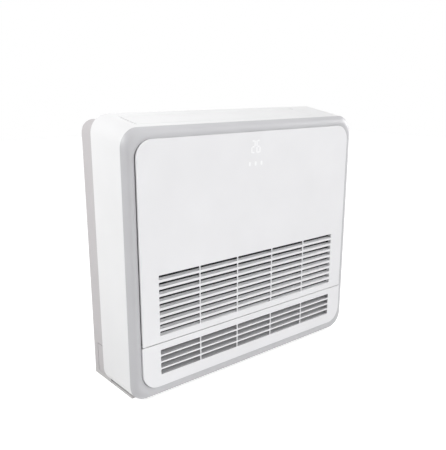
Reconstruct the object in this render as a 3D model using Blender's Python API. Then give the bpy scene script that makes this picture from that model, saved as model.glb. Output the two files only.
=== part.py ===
"""Floor console air conditioner, built as an assembly of separate pieces.

Metres, +Z up. The front faces -Y and +X is the right-hand side seen from the front.
The origin is on the floor under the middle of the unit.
"""

import math

import bmesh
import bpy
from mathutils import Matrix, Vector

# Overall sizes of the unit.
FACE_WIDTH = 0.700
FACE_HEIGHT = 0.600
DEPTH = 0.215
FACE_BOTTOM = 0.0055
FACE_RADIUS = 0.041
TOP_SLOPE = 0.18
PANEL_PROUD = 0.0188
CASE_DEPTH = 0.1197
CORNER_STEPS = 7

# Welding distance of meshes, how flat a face at an end is, and the drawn size of a joint's empty.
WELD = 0.00001
FLAT = 0.99
EMPTY_SIZE = 0.02

# Walls, the gap between pieces that touch, and the overlap of shapes that are joined.
WALL = 0.0025
SHEET = 0.002
SEAT = 0.0003
EASY = 0.0015
SUNK = 0.001
SHARP = 0.001
KEEN = 0.0001

FRONT_Y = -DEPTH / 2
BACK_Y = DEPTH / 2
CASE_FRONT = FRONT_Y + PANEL_PROUD
CASE_REAR = CASE_FRONT + CASE_DEPTH
FACE_HALF = FACE_WIDTH / 2
FACE_TOP = FACE_BOTTOM + FACE_HEIGHT

# Grey ring round the panel. The shares are of the way from its outer edge to the recess.
RING_RISE = 0.0113
RING_LIP = 0.0025
RING_FLANGE = 0.0135
RING_SHARES = (0, 0.06, 0.16, 0.34, 0.6, 0.94)
RING_SWELL = 2.4
RING_BACK_SHARE = 0.45
RING_BACK_RISE = 0.55
LIP_ROUND = 0.0006
MARGIN_SIDE = 0.025
MARGIN_TOP = 0.0238
MARGIN_BOTTOM = 0.029
PANEL_RADIUS = 0.038
RECESS_FLOOR = 0.0170

PANEL_HALF = FACE_HALF - MARGIN_SIDE
PANEL_TOP = FACE_TOP - MARGIN_TOP
PANEL_BOTTOM = FACE_BOTTOM + MARGIN_BOTTOM
RECESS_Y = FRONT_Y + RECESS_FLOOR
FASCIA_FRONT = RECESS_Y + WALL + SEAT
FASCIA_REAR = FASCIA_FRONT + WALL

# Opening front panel and the fixed grille panel under it.
PANEL_WALL = 0.003
PANEL_RIM = 0.005
SEAM_Z = 0.1380
ROLL = 0.008
ROLL_GAP = 0.001
ROLL_REACH = 95
ROLL_STEPS = 8
ROLL_EASE = 0.0002
GRILLE_MARGIN = 0.045
GRILLE_COLUMNS = 5
GRILLE_RIB = 0.0026
RIB_DEEP = 0.0018
ROW_EASE = 0.0001
BLOCK_EDGE = 0.005
BLOCK_FOOT = 0.001
UPPER_ROWS = 9
UPPER_PITCH = 0.0161
UPPER_RAISED = 0.155
UPPER_SLOT = 0.0105
UPPER_DEPTH = 0.010
UPPER_RISE = math.radians(15)
LOWER_ROWS = 4
LOWER_PITCH = 0.0157
LOWER_DROP = 0.0177
LOWER_SLOT = 0.0117
LOWER_DEPTH = 0.014
LOWER_RISE = math.radians(12)
LOWER_EDGE = 0.004
LOWER_SIDE = 0.006
LOWER_CLEAR = 0.002
LOWER_ROUND = 0.002
SLOT_ROUND = 0.0015
EAR_INSET = 0.125
EAR_WIDE = 0.010
EAR_EASE = 0.0005
STEM_BELOW = 0.001
STEM_ABOVE = 0.003
CHEEK = 0.003
PANEL_PIN = 0.002
CATCH_INSET = 0.075
CATCH_DROP = 0.0217
CATCH_RADIUS = 0.0075
CATCH_PROUD = 0.003
PEG_RADIUS = 0.003
PEG_FIT = 0.0005
PEG_SHORT = 0.001

GRILLE_HALF = PANEL_HALF - GRILLE_MARGIN
UPPER_TOP = SEAM_Z + UPPER_RAISED
LOWER_TOP = SEAM_Z - LOWER_DROP
EAR_X = PANEL_HALF - EAR_INSET
CATCH_X = PANEL_HALF - CATCH_INSET
CATCH_Z = PANEL_TOP - CATCH_DROP
PANEL_AXIS_Y = FRONT_Y + ROLL
PANEL_AXIS_Z = SEAM_Z + ROLL + ROLL_GAP / 2

# Top flap.
FLAP_MARGIN_LEFT = 0.055
FLAP_MARGIN_RIGHT = 0.120
FLAP_SETBACK = 0.0242
FLAP_DEEP = 0.0709
FLAP_GAP = 0.0012
FLAP_WALL = 0.0025
FLAP_ROLL = 0.0056
FLAP_REACH = 105
FLAP_PIN = 0.0015
EAR_REACH = 0.0042

FLAP_LEFT = -FACE_HALF + FLAP_MARGIN_LEFT
FLAP_RIGHT = FACE_HALF - FLAP_MARGIN_RIGHT
FLAP_FRONT = CASE_FRONT + FLAP_SETBACK
FLAP_REAR = FLAP_FRONT + FLAP_DEEP

# Rear casing, base plate and pipe covers.
REAR_INSET = 0.0175
REAR_RISE = 0.0065
REAR_RADIUS = 0.030
REAR_OVERLAP = 0.021
STEP_RADIUS = 0.002
BASE_SETBACK = 0.0257
BASE_THICK = 0.005
BASE_RIM = 0.011
COVER_TOP = 0.0825
COVER_SETBACK = 0.019
LIP_FRONT = 0.008
LIP_BEHIND = 0.006
LIP_INSET = 0.010
NECK_INSET = 0.012
HANG_HALF = 0.020
HANG_DROP = 0.052
HANG_TALL = 0.012

REAR_HALF = FACE_HALF - REAR_INSET
REAR_TOP = FACE_TOP + REAR_RISE
BASE_FRONT = CASE_FRONT + BASE_SETBACK
COVER_REAR = BACK_Y - COVER_SETBACK
HANG_Z = REAR_TOP - HANG_DROP

# Coil and drain pan, behind the fascia.
COIL_SETBACK = 0.0112
COIL_DEEP = 0.032
COIL_HALF = 0.198
END_PLATE = 0.0015
BENDS = 5
BEND_PIPE = 0.0035
BEND_FIRST = 0.75
BEND_STEPS = 6
BEND_NECK = 0.004
BEND_REACH = 0.010
PAN_RAISED = 0.0070
PAN_DEEP = 0.018
PAN_LEFT = 0.030
PAN_RIGHT = 0.024
PAN_FRONT = 0.009
SPOUT_LONG = 0.028
SPOUT_RAISED = 0.0095
SPOUT_RADIUS = 0.0075
SPOUT_BORE = 0.0055

PAN_BOTTOM = SEAM_Z + PAN_RAISED
COIL_FRONT = FASCIA_REAR + COIL_SETBACK
COIL_REAR = COIL_FRONT + COIL_DEEP
COIL_MIDDLE_Y = COIL_FRONT + COIL_DEEP / 2

# Fan, and the chamber and bell mouth round it.
FAN_MARGIN_LEFT = 0.308
WHEEL_RADIUS = 0.145
WHEEL_ABOVE_DUCT = 0.020
WHEEL_DEEP = 0.070
WHEEL_EYE = 0.1125
WHEEL_WALL = 0.0025
WHEEL_SIDES = 36
BLADES = 7
BLADE_INNER = 0.100
BLADE_STEPS = 5
BLADE_START = 4
BLADE_THICK = 0.0025
BLADE_SHORT = 0.002
BLADE_SWEEP = math.radians(38)
BLADE_BOW = 1.3
HUB_RADIUS = 0.013
HUB_DEEP = 0.027
NUT_RADIUS = 0.0085
NUT_THICK = 0.006
SHAFT_RADIUS = 0.004
SHAFT_PROUD = 0.002
SHAFT_SUNK = 0.018
BORE_DEEP = 0.020
BORE_FIT = 0.0003
CHAMBER_SIDE = 0.022
CHAMBER_BEHIND = 0.042
MOUTH_BEHIND_COIL = 0.004
WHEEL_BEHIND_MOUTH = 0.005
MOUTH_SIDE = 0.004
MOUTH_RADIUS = 0.1085
MOTOR_RADIUS = 0.048
MOTOR_DEEP = 0.034
MOTOR_NECK = 0.0295
NECK_ROOT = 0.004
BRACKET_HALF = 0.085
BRACKET_RISE = 0.030
BRACKET_RADIUS = 0.010
BRACKET_INSET = 0.005
BRACKET_STEPS = 4
OUTLET_KNEE_DROP = 0.0355
OUTLET_FLARE = 0.0253

DUCT_RAISED = 0.0200
DUCT_TOP = PAN_BOTTOM + DUCT_RAISED
FAN_X = -FACE_HALF + FAN_MARGIN_LEFT
FAN_Z = DUCT_TOP + WHEEL_ABOVE_DUCT + WHEEL_RADIUS
OUTLET_KNEE = FACE_TOP - OUTLET_KNEE_DROP
CHAMBER_TOP = OUTLET_KNEE - OUTLET_FLARE
CHAMBER_HALF = WHEEL_RADIUS + CHAMBER_SIDE
MOUTH_Y = COIL_REAR + MOUTH_BEHIND_COIL
WHEEL_FRONT = MOUTH_Y + WHEEL_BEHIND_MOUTH
WHEEL_REAR = WHEEL_FRONT + WHEEL_DEEP
CHAMBER_REAR = WHEEL_REAR + CHAMBER_BEHIND
MOTOR_FRONT = CHAMBER_REAR - WALL - SEAT - MOTOR_DEEP
COIL_LEFT = FAN_X - COIL_HALF
COIL_RIGHT = FAN_X + COIL_HALF
COIL_TOP = FAN_Z + WHEEL_RADIUS

# Intake windows in the fascia, and the filters in front of them.
FASCIA_RAISED = 0.004
FASCIA_RADIUS = 0.020
INTAKE_RAISED = 0.015
INTAKE_TALL = 0.175
INTAKE_SIDE = 0.012
FILTER_THICK = 0.004
FILTER_EDGE = 0.006
FILTER_MESH = 0.0008
FILTER_TRAVEL = 0.150
FILTER_POST = 0.004
FILTER_COLUMNS = 3
FILTER_ROWS = 3
FILTER_COVER = 0.004
FILTER_BACK_GAP = 0.0018
RAIL_LIP = 0.004

INTAKE_BOTTOM = PAN_BOTTOM + INTAKE_RAISED
INTAKE_TOP = INTAKE_BOTTOM + INTAKE_TALL
FILTER_LEFT = COIL_LEFT - INTAKE_SIDE - FILTER_COVER
FILTER_RIGHT = COIL_RIGHT + INTAKE_SIDE + FILTER_COVER
FILTER_BOTTOM = INTAKE_BOTTOM - FILTER_COVER
FILTER_TOP = INTAKE_TOP + FILTER_COVER
FILTER_FRONT = FASCIA_FRONT - FILTER_BACK_GAP - FILTER_THICK

# Lower outlet.
DUCT_SIDE = 0.007
DUCT_LIP = 0.0530
DUCT_LOW = 0.030
DUCT_SWEEP = 0.050
DUCT_SWEEP_RISE = 0.058
DUCT_SWEEP_ANGLE = 60
DUCT_SWEEP_STEPS = 6
DUCT_FLAT = 0.030
DUCT_FLAT_RISE = 0.004
DUCT_TURN = 0.0465
DAMPER_BEHIND = 0.0027
DAMPER_DROP = 0.0775
DAMPER_THICK = 0.0025
DAMPER_SIDE = 0.005
DAMPER_PIN = 0.0018
DAMPER_KNUCKLE = 0.0023
PIN_ROOT = 0.004
DAMPER_MOTOR_RADIUS = 0.012
DAMPER_MOTOR_LONG = 0.018
DAMPER_MOTOR_BEHIND = 0.010
DAMPER_MOTOR_DROP = 0.004

DUCT_HALF = GRILLE_HALF + DUCT_SIDE
DUCT_FRONT = RECESS_Y
DAMPER_Y = DUCT_FRONT + DAMPER_BEHIND
DAMPER_Z = SEAM_Z - ROLL_GAP / 2

# Top outlet and its swinging vanes.
OUTLET_SINK = 0.0115
OUTLET_EAR = 0.0028
OUTLET_EAR_TOP = 0.0023
OUTLET_EAR_DROP = 0.012
OUTLET_EAR_THICK = 0.005
EAR_FOOT_DROP = 0.014
EAR_FOOT_TOP = 0.0072
EAR_FOOT_SIDE = 0.0003
VANES = 8
VANE_MARGIN_LEFT = 0.040
VANE_MARGIN_RIGHT = 0.0405
VANE_RAISED = 0.015
VANE_TALL = 0.024
VANE_THICK = 0.0015
VANE_LEVER = 0.014
VANE_PIN = 0.001
VANE_AXLE = 0.0013
LEVER_HALF = 0.006
LEVER_NOTCH = 0.003
LEVER_FOOT = 0.0018
NOTCH_BELOW = 0.005
NOTCH_ABOVE = 0.004
NOTCH_WIDE = 0.010
LINK_SETBACK = 0.0345
LINK_THICK = 0.002
LINK_LEFT = 0.008
LINK_RIGHT = 0.006
LINK_BELOW = 0.0048
LINK_ABOVE = 0.0042
SMALL_MOTOR_RADIUS = 0.010
FLAP_MOTOR_LONG = 0.018
FLAP_MOTOR_AHEAD = 0.004
FLAP_MOTOR_DROP = 0.0128
VANE_MOTOR_LONG = 0.016

VANE_FIRST = FLAP_LEFT + VANE_MARGIN_LEFT
VANE_PITCH = (FLAP_RIGHT - VANE_MARGIN_RIGHT - VANE_FIRST) / (VANES - 1)
VANE_Z = OUTLET_KNEE + VANE_RAISED
LINK_Y = FLAP_FRONT + LINK_SETBACK

# Electrical box, with the board, the terminals and the screws in it.
BOX_WIDE = 0.117
BOX_TALL = 0.300
BOX_SIDE = 0.0105
BOX_RAISED = 0.035
BOX_AHEAD = 0.001
BOX_WALL = 0.0015
SCREW_RADIUS = 0.0015
SCREW_INSET = 0.012
SCREW_DEEP = 0.014
SCREW_LONG = 0.010
HEAD_RADIUS = 0.0035
HEAD_THICK = 0.0018
HEAD_SUNK = 0.0008
HEAD_SLOT_HALF = 0.0028
HEAD_SLOT_DEEP = 0.0011
HEAD_SLOT_WIDE = 0.0008
BOARD_THICK = 0.0016
BOARD_OUT = 0.022
BOARD_SIDE = 0.010
BOARD_ABOVE = 0.050
BOARD_BELOW = 0.030
STAND_RADIUS = 0.003
STAND_INSET = 0.008
# Left, bottom, width, depth and height of each block on the board, from its lower left corner.
BOARD_BLOCKS = (
    (0.012, 0.020, 0.030, 0.026, 0.034),
    (0.056, 0.016, 0.022, 0.016, 0.018),
    (0.056, 0.050, 0.022, 0.016, 0.018),
    (0.014, 0.090, 0.020, 0.008, 0.050),
    (0.050, 0.150, 0.034, 0.010, 0.012),
)
CAN_X = 0.022
CAN_Z = 0.180
CAN_LONG = 0.030
CAN_RADIUS = 0.010
TERMINALS = 5
TERMINAL_SIDE = 0.020
TERMINAL_RAISED = 0.020
TERMINAL_TALL = 0.022
TERMINAL_DEEP = 0.016
POCKET_RIB = 0.0015
POCKET_EDGE = 0.004
POCKET_FLOOR = 0.007

BOX_RIGHT = REAR_HALF - BOX_SIDE
BOX_LEFT = BOX_RIGHT - BOX_WIDE
BOX_BOTTOM = DUCT_TOP + BOX_RAISED
BOX_TOP = BOX_BOTTOM + BOX_TALL
BOX_FRONT = CASE_REAR - BOX_AHEAD

# Display module and emergency button.
DISPLAY_HALF = 0.034
DISPLAY_DROP = 0.0147
DISPLAY_TALL = 0.070
DISPLAY_CLEAR = 0.003
BUTTON_INSET = 0.063
BUTTON_DROP = 0.1617
BUTTON_RADIUS = 0.006
BUTTON_PROUD = 0.003
BUTTON_TRAVEL = 0.002
SWITCH_HALF = 0.012
SWITCH_ROUND = 0.002
SWITCH_INSET = 0.0005

DISPLAY_TOP = PANEL_TOP - DISPLAY_DROP
DISPLAY_BOTTOM = DISPLAY_TOP - DISPLAY_TALL
BUTTON_X = PANEL_HALF - BUTTON_INSET
BUTTON_Z = PANEL_TOP - BUTTON_DROP

# Refrigerant pipes.
GAS_RADIUS = 0.00476
LIQUID_RADIUS = 0.003175
GAS_SETBACK = 0.0060
LIQUID_SETBACK = 0.0255
GAS_RAISED = 0.060
LIQUID_RAISED = 0.117
PIPE_FALL = 0.070
PIPE_BEND = 0.018
PIPE_STEPS = 5
PIPE_SIDE = 0.023
PIPE_APART_X = 0.014
PIPE_APART_Y = 0.030
GAS_SIDE = 0.004
GAS_BEHIND = 0.027
PIPE_END_Z = 0.045
GAS_NUT = 0.0105
LIQUID_NUT = 0.008
FLARE_PROUD = 0.004
FLARE_LONG = 0.016

PIPE_BAY_X = -DUCT_HALF - PIPE_SIDE


def top_height(y):
    """Height of the sloping top surface at a depth."""
    return FACE_TOP + TOP_SLOPE * (y - CASE_FRONT)


FLAP_AXIS_Y = FLAP_REAR - FLAP_ROLL
FLAP_TILT = math.atan(TOP_SLOPE)
FLAP_AXIS_Z = top_height(FLAP_AXIS_Y) - FLAP_ROLL / math.cos(FLAP_TILT)


def clear_scene():
    for obj in list(bpy.data.objects):
        bpy.data.objects.remove(obj, do_unlink=True)
    for group in list(bpy.data.collections):
        bpy.data.collections.remove(group)


def new_collection(name):
    group = bpy.data.collections.new(name)
    bpy.context.scene.collection.children.link(group)
    return group


clear_scene()
PARTS = new_collection("floor_console_air_conditioner")
CUTTERS = new_collection("cutters")
CUTTERS.hide_render = True

FINISHES = {
    "white_shell": ((0.88, 0.88, 0.88), 0.35, 0.0),
    "white_panel": ((0.90, 0.90, 0.90), 0.28, 0.0),
    "grey_ring": ((0.62, 0.62, 0.63), 0.40, 0.0),
    "grey_plastic": ((0.30, 0.31, 0.32), 0.55, 0.0),
    "dark_plastic": ((0.05, 0.05, 0.055), 0.60, 0.0),
    "duct_plastic": ((0.70, 0.71, 0.72), 0.60, 0.0),
    "sheet_steel": ((0.60, 0.61, 0.62), 0.40, 0.8),
    "coil_fins": ((0.72, 0.74, 0.76), 0.35, 0.9),
    "copper": ((0.72, 0.38, 0.22), 0.30, 1.0),
    "brass": ((0.72, 0.55, 0.25), 0.30, 1.0),
    "steel": ((0.55, 0.55, 0.56), 0.30, 1.0),
    "board": ((0.03, 0.22, 0.10), 0.50, 0.0),
    "filter_net": ((0.25, 0.27, 0.30), 0.80, 0.0),
}


def finish_named(name):
    """The finish of that name, made once."""
    material = bpy.data.materials.get(name)
    if material:
        return material
    colour, roughness, metallic = FINISHES[name]
    material = bpy.data.materials.new(name)
    material.use_nodes = True
    shader = material.node_tree.nodes["Principled BSDF"]
    shader.inputs["Base Color"].default_value = (*colour, 1.0)
    shader.inputs["Roughness"].default_value = roughness
    shader.inputs["Metallic"].default_value = metallic
    return material


def joint_empty(name, place):
    """An empty on a joint's axis, which carries the pieces that move about it."""
    empty = bpy.data.objects.new(name, None)
    empty.empty_display_size = EMPTY_SIZE
    empty.location = place
    PARTS.objects.link(empty)
    return empty


def place(name, mesh, finish=None, carrier=None):
    """An object for a mesh given in world coordinates, as a part or, with no finish, as a cutter."""
    mesh.name = name
    obj = bpy.data.objects.new(name, mesh)
    if carrier:
        mesh.transform(Matrix.Translation(-carrier.location))
        obj.parent = carrier
    if finish:
        PARTS.objects.link(obj)
        mesh.materials.clear()
        mesh.materials.append(finish_named(finish))
        mesh.shade_smooth()
        mesh.set_sharp_from_angle(angle=math.radians(35))
    else:
        CUTTERS.objects.link(obj)
        obj.hide_render = True
        obj.display_type = "WIRE"
    return obj


def boolean(target, tool, operation):
    modifier = target.modifiers.new(operation.lower() + "_" + tool.name, "BOOLEAN")
    modifier.operation = operation
    modifier.solver = "EXACT"
    modifier.object = tool


def cut(target, mesh):
    tool = place(target.name + "_cut", mesh)
    boolean(target, tool, "DIFFERENCE")


def add(target, mesh):
    tool = place(target.name + "_add", mesh)
    boolean(target, tool, "UNION")


def mesh_of(bm):
    mesh = bpy.data.meshes.new("shape")
    bmesh.ops.recalc_face_normals(bm, faces=bm.faces)
    bm.to_mesh(mesh)
    bm.free()
    return mesh


def merged(*meshes):
    """Several separate bodies in one mesh, used as a single cutter or addition."""
    bm = bmesh.new()
    for mesh in meshes:
        bm.from_mesh(mesh)
        bpy.data.meshes.remove(mesh)
    return mesh_of(bm)


def box(x0, x1, y0, y1, z0, z1):
    bm = bmesh.new()
    bmesh.ops.create_cube(bm, size=1.0)
    middle = Vector(((x0 + x1) / 2, (y0 + y1) / 2, (z0 + z1) / 2))
    size = Matrix.Diagonal((x1 - x0, y1 - y0, z1 - z0, 1.0))
    bmesh.ops.transform(bm, matrix=Matrix.Translation(middle) @ size, verts=bm.verts)
    return mesh_of(bm)


def rod(axis, a, b, low, high, radius, sides=16):
    """A cylinder along X, Y or Z. a and b are the two other coordinates, in X, Y, Z order."""
    bm = bmesh.new()
    bmesh.ops.create_cone(
        bm, cap_ends=True, segments=sides, radius1=radius, radius2=radius, depth=high - low
    )
    middle = (low + high) / 2
    turn, shift = {
        "X": (Matrix.Rotation(math.pi / 2, 4, "Y"), (middle, a, b)),
        "Y": (Matrix.Rotation(-math.pi / 2, 4, "X"), (a, middle, b)),
        "Z": (Matrix.Identity(4), (a, b, middle)),
    }[axis]
    bmesh.ops.transform(bm, matrix=Matrix.Translation(shift) @ turn, verts=bm.verts)
    return mesh_of(bm)


def from_curve(curve):
    """A closed mesh from a curve, with its caps welded to its sides."""
    obj = bpy.data.objects.new("curve", curve)
    bpy.context.scene.collection.objects.link(obj)
    bpy.context.view_layer.update()
    graph = bpy.context.evaluated_depsgraph_get()
    mesh = bpy.data.meshes.new_from_object(obj.evaluated_get(graph))
    bpy.data.objects.remove(obj, do_unlink=True)
    bpy.data.curves.remove(curve)
    bm = bmesh.new()
    bm.from_mesh(mesh)
    bpy.data.meshes.remove(mesh)
    bmesh.ops.remove_doubles(bm, verts=bm.verts, dist=WELD)
    return mesh_of(bm)


def single_caps(mesh):
    """The two flat ends of an extruded outline with no holes, each made one face."""
    bm = bmesh.new()
    bm.from_mesh(mesh)
    bpy.data.meshes.remove(mesh)
    for side in (-1, 1):
        cap = [face for face in bm.faces if face.normal.z * side > FLAT]
        bmesh.ops.dissolve_faces(bm, faces=cap)
    return mesh_of(bm)


def plate(normal, loops, low, high):
    """A flat outline with its holes, extruded along its normal. Points are the two other coordinates."""
    curve = bpy.data.curves.new("outline", "CURVE")
    curve.dimensions = "2D"
    curve.fill_mode = "BOTH"
    curve.extrude = (high - low) / 2
    for loop in loops:
        spline = curve.splines.new("POLY")
        spline.points.add(len(loop) - 1)
        for point, (a, b) in zip(spline.points, loop):
            point.co = (a, b, 0.0, 1.0)
        spline.use_cyclic_u = True
    mesh = from_curve(curve)
    if len(loops) == 1:
        mesh = single_caps(mesh)
    middle = (low + high) / 2
    turn = {
        "X": Matrix(((0, 0, 1, middle), (1, 0, 0, 0), (0, 1, 0, 0), (0, 0, 0, 1))),
        "Y": Matrix(((1, 0, 0, 0), (0, 0, -1, middle), (0, 1, 0, 0), (0, 0, 0, 1))),
        "Z": Matrix.Translation((0, 0, middle)),
    }[normal]
    mesh.transform(turn)
    return mesh


def tube(points, radius, fineness=2):
    """A round pipe along a list of points."""
    curve = bpy.data.curves.new("pipe", "CURVE")
    curve.dimensions = "3D"
    curve.bevel_depth = radius
    curve.bevel_resolution = fineness
    curve.use_fill_caps = True
    spline = curve.splines.new("POLY")
    spline.points.add(len(points) - 1)
    for point, co in zip(spline.points, points):
        point.co = (*co, 1.0)
    return from_curve(curve)


def rounded(points, radius, steps):
    """The corners of a route replaced by arcs of about that radius."""
    route = [Vector(points[0])]
    for before, corner, after in zip(points, points[1:], points[2:]):
        corner = Vector(corner)
        first = (Vector(before) - corner).normalized() * radius
        last = (Vector(after) - corner).normalized() * radius
        for step in range(steps + 1):
            t = step / steps
            route.append(corner + first * (1 - t) ** 2 + last * t**2)
    route.append(Vector(points[-1]))
    return route


def arc(a, b, radius, start, end, steps):
    """Points on an arc about (a, b), with angles in degrees."""
    angles = [math.radians(start + (end - start) * step / steps) for step in range(steps + 1)]
    return [(a + radius * math.cos(t), b + radius * math.sin(t)) for t in angles]


def rounded_outline(a0, a1, b0, b1, low_radius, top_radius, steps=CORNER_STEPS):
    """A rectangle with its two lower and two upper corners rounded, anticlockwise from the lower left."""
    return (
        arc(a0 + low_radius, b0 + low_radius, low_radius, 180, 270, steps)
        + arc(a1 - low_radius, b0 + low_radius, low_radius, 270, 360, steps)
        + arc(a1 - top_radius, b1 - top_radius, top_radius, 0, 90, steps)
        + arc(a0 + top_radius, b1 - top_radius, top_radius, 90, 180, steps)
    )


def rectangle(a0, a1, b0, b1):
    return [(a0, b0), (a1, b0), (a1, b1), (a0, b1)]


def circle(a, b, radius, sides=24):
    return arc(a, b, radius, 0, 360 - 360 / sides, sides - 1)


def ring_loft(sections):
    """A closed ring through loops of points that have the same count, each joined to the next."""
    bm = bmesh.new()
    loops = [[bm.verts.new(point) for point in section] for section in sections]
    for loop, following in zip(loops, loops[1:] + loops[:1]):
        for i, vert in enumerate(loop):
            j = (i + 1) % len(loop)
            bm.faces.new((vert, loop[j], following[j], following[i]))
    return mesh_of(bm)


def face_section(inset, y):
    """The front outline drawn in by a margin, with its top following the slope."""
    radius = FACE_RADIUS - inset
    outline = rounded_outline(
        -FACE_HALF + inset,
        FACE_HALF - inset,
        FACE_BOTTOM + inset,
        top_height(y) - inset,
        radius,
        radius,
    )
    return [(x, y, z) for x, z in outline]


def upright_section(half, bottom, top, low_radius, top_radius, y):
    outline = rounded_outline(-half, half, bottom, top, low_radius, top_radius)
    return [(x, y, z) for x, z in outline]


def slot_cutter(left, right, low, high, front, rear, rise):
    """A cutter with a little round at its corners, which rises towards the rear."""
    outline = rounded_outline(left, right, low, high, SLOT_ROUND, SLOT_ROUND, 1)
    mesh = plate("Y", [outline], front, rear)
    for vert in mesh.vertices:
        vert.co.z += math.tan(rise) * (vert.co.y - FRONT_Y)
    return mesh


def cut_slots(panel, rows, pitch, top, slot, rise, deep):
    """Cut rows of five slots. Behind the shallow ribs, each row is one long slot."""
    column = (2 * GRILLE_HALF - (GRILLE_COLUMNS - 1) * GRILLE_RIB) / GRILLE_COLUMNS
    rib_rear = FRONT_Y + RIB_DEEP
    half = GRILLE_HALF - ROW_EASE
    long_slots = []
    short_slots = []
    for row in range(rows):
        high = top - row * pitch
        low = high - slot
        long_slots.append(
            slot_cutter(-half, half, low + ROW_EASE, high - ROW_EASE, rib_rear, FRONT_Y + 2 * deep, rise)
        )
        for k in range(GRILLE_COLUMNS):
            left = -GRILLE_HALF + k * (column + GRILLE_RIB)
            short_slots.append(
                slot_cutter(left, left + column, low, high, FRONT_Y - deep, rib_rear + SUNK, rise)
            )
    cut(panel, merged(*long_slots))
    cut(panel, merged(*short_slots))


def curled_edge(wall, roll, top_reach, curl_degrees):
    """The section of a sheet whose edge is curled round a joint axis at (0, 0).

    The sheet stands on the -Y side of the axis and rises to top_reach.
    """
    outer = arc(0.0, 0.0, roll, 180, 180 + curl_degrees, ROLL_STEPS)
    inner = arc(0.0, 0.0, roll - wall, 180 + curl_degrees, 180, ROLL_STEPS)
    return [(-roll, top_reach)] + outer + inner + [(-roll + wall, top_reach)]


def build_front_casing():
    rear_outline = (REAR_HALF + SEAT, BASE_RIM, REAR_TOP + SEAT, STEP_RADIUS, REAR_RADIUS + SEAT)
    sections = [
        face_section(0.0, CASE_FRONT + SEAT),
        face_section(0.0, CASE_REAR),
        upright_section(*rear_outline, CASE_REAR),
        upright_section(*rear_outline, CASE_REAR - WALL),
        face_section(WALL, CASE_REAR - WALL),
        face_section(WALL, CASE_FRONT + SEAT),
    ]
    casing = place("front_casing", ring_loft(sections), "white_shell")
    opening = box(
        FLAP_LEFT - FLAP_GAP,
        FLAP_RIGHT + FLAP_GAP,
        FLAP_FRONT - FLAP_GAP,
        FLAP_REAR + FLAP_GAP,
        FACE_TOP - 3 * WALL,
        FACE_TOP + CASE_DEPTH,
    )
    cut(casing, opening)
    return casing


def build_bezel_ring():
    """The grey ring, which swells forwards from the casing to the panel and turns back as a recess."""
    inner = MARGIN_SIDE - EASY
    lift = MARGIN_BOTTOM - MARGIN_SIDE

    def section(share, y):
        """An outline at a share of the way from the outer edge to the recess."""
        radius = FACE_RADIUS + share * (PANEL_RADIUS + EASY - FACE_RADIUS)
        bottom = FACE_BOTTOM + share * (inner + lift)
        top = FACE_TOP - share * (MARGIN_TOP - EASY)
        return upright_section(FACE_HALF - share * inner, bottom, top, radius, radius, y)

    front = [
        section(share, CASE_FRONT - RING_RISE * (1 - (1 - share) ** RING_SWELL))
        for share in RING_SHARES
    ]
    lip = section(1.0, CASE_FRONT - RING_RISE + LIP_ROUND)
    floor = section(1.0, RECESS_Y)
    share_flange = 1.0 + RING_FLANGE / inner
    flange = [section(share_flange, RECESS_Y), section(share_flange, RECESS_Y + WALL)]
    share_wall = 1.0 - RING_LIP / inner
    back = [
        section(share_wall, RECESS_Y + WALL),
        section(share_wall, CASE_FRONT - RING_RISE + WALL),
        section(RING_BACK_SHARE, CASE_FRONT - RING_BACK_RISE * RING_RISE),
        section(RING_LIP / inner, CASE_FRONT),
    ]
    return place("bezel_ring", ring_loft(front + [lip, floor] + flange + back), "grey_ring")


def build_lower_grille():
    """The fixed panel with the lower outlet slots: a shallow tray, open at the back."""
    half = PANEL_HALF + EASY - SEAT
    bottom = PANEL_BOTTOM - EASY + SEAT
    top = SEAM_Z - ROLL_GAP / 2
    rear = RECESS_Y - SEAT
    radius = PANEL_RADIUS + EASY - SEAT
    outline = rounded_outline(-half, half, bottom, top, radius, LOWER_ROUND)
    grille = place("lower_grille", plate("Y", [outline], FRONT_Y, rear), "white_panel")
    inside = rounded_outline(
        -half + WALL, half - WALL, bottom + WALL, top - WALL, radius - WALL, SHARP
    )
    block_half = GRILLE_HALF + LOWER_SIDE
    block_top = LOWER_TOP + LOWER_EDGE
    block_bottom = LOWER_TOP - (LOWER_ROWS - 1) * LOWER_PITCH - LOWER_SLOT - LOWER_EDGE
    hollow = [inside, rectangle(-block_half, block_half, block_bottom, block_top)]
    cut(grille, plate("Y", hollow, FRONT_Y + PANEL_WALL, rear + WALL))
    behind = FRONT_Y + LOWER_DEPTH
    clearing = box(
        -block_half - LOWER_CLEAR,
        block_half + LOWER_CLEAR,
        behind,
        rear + WALL,
        block_bottom - LOWER_CLEAR,
        block_top + LOWER_CLEAR,
    )
    cut(grille, clearing)
    cut_slots(grille, LOWER_ROWS, LOWER_PITCH, LOWER_TOP, LOWER_SLOT, LOWER_RISE, LOWER_DEPTH)
    return grille


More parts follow.
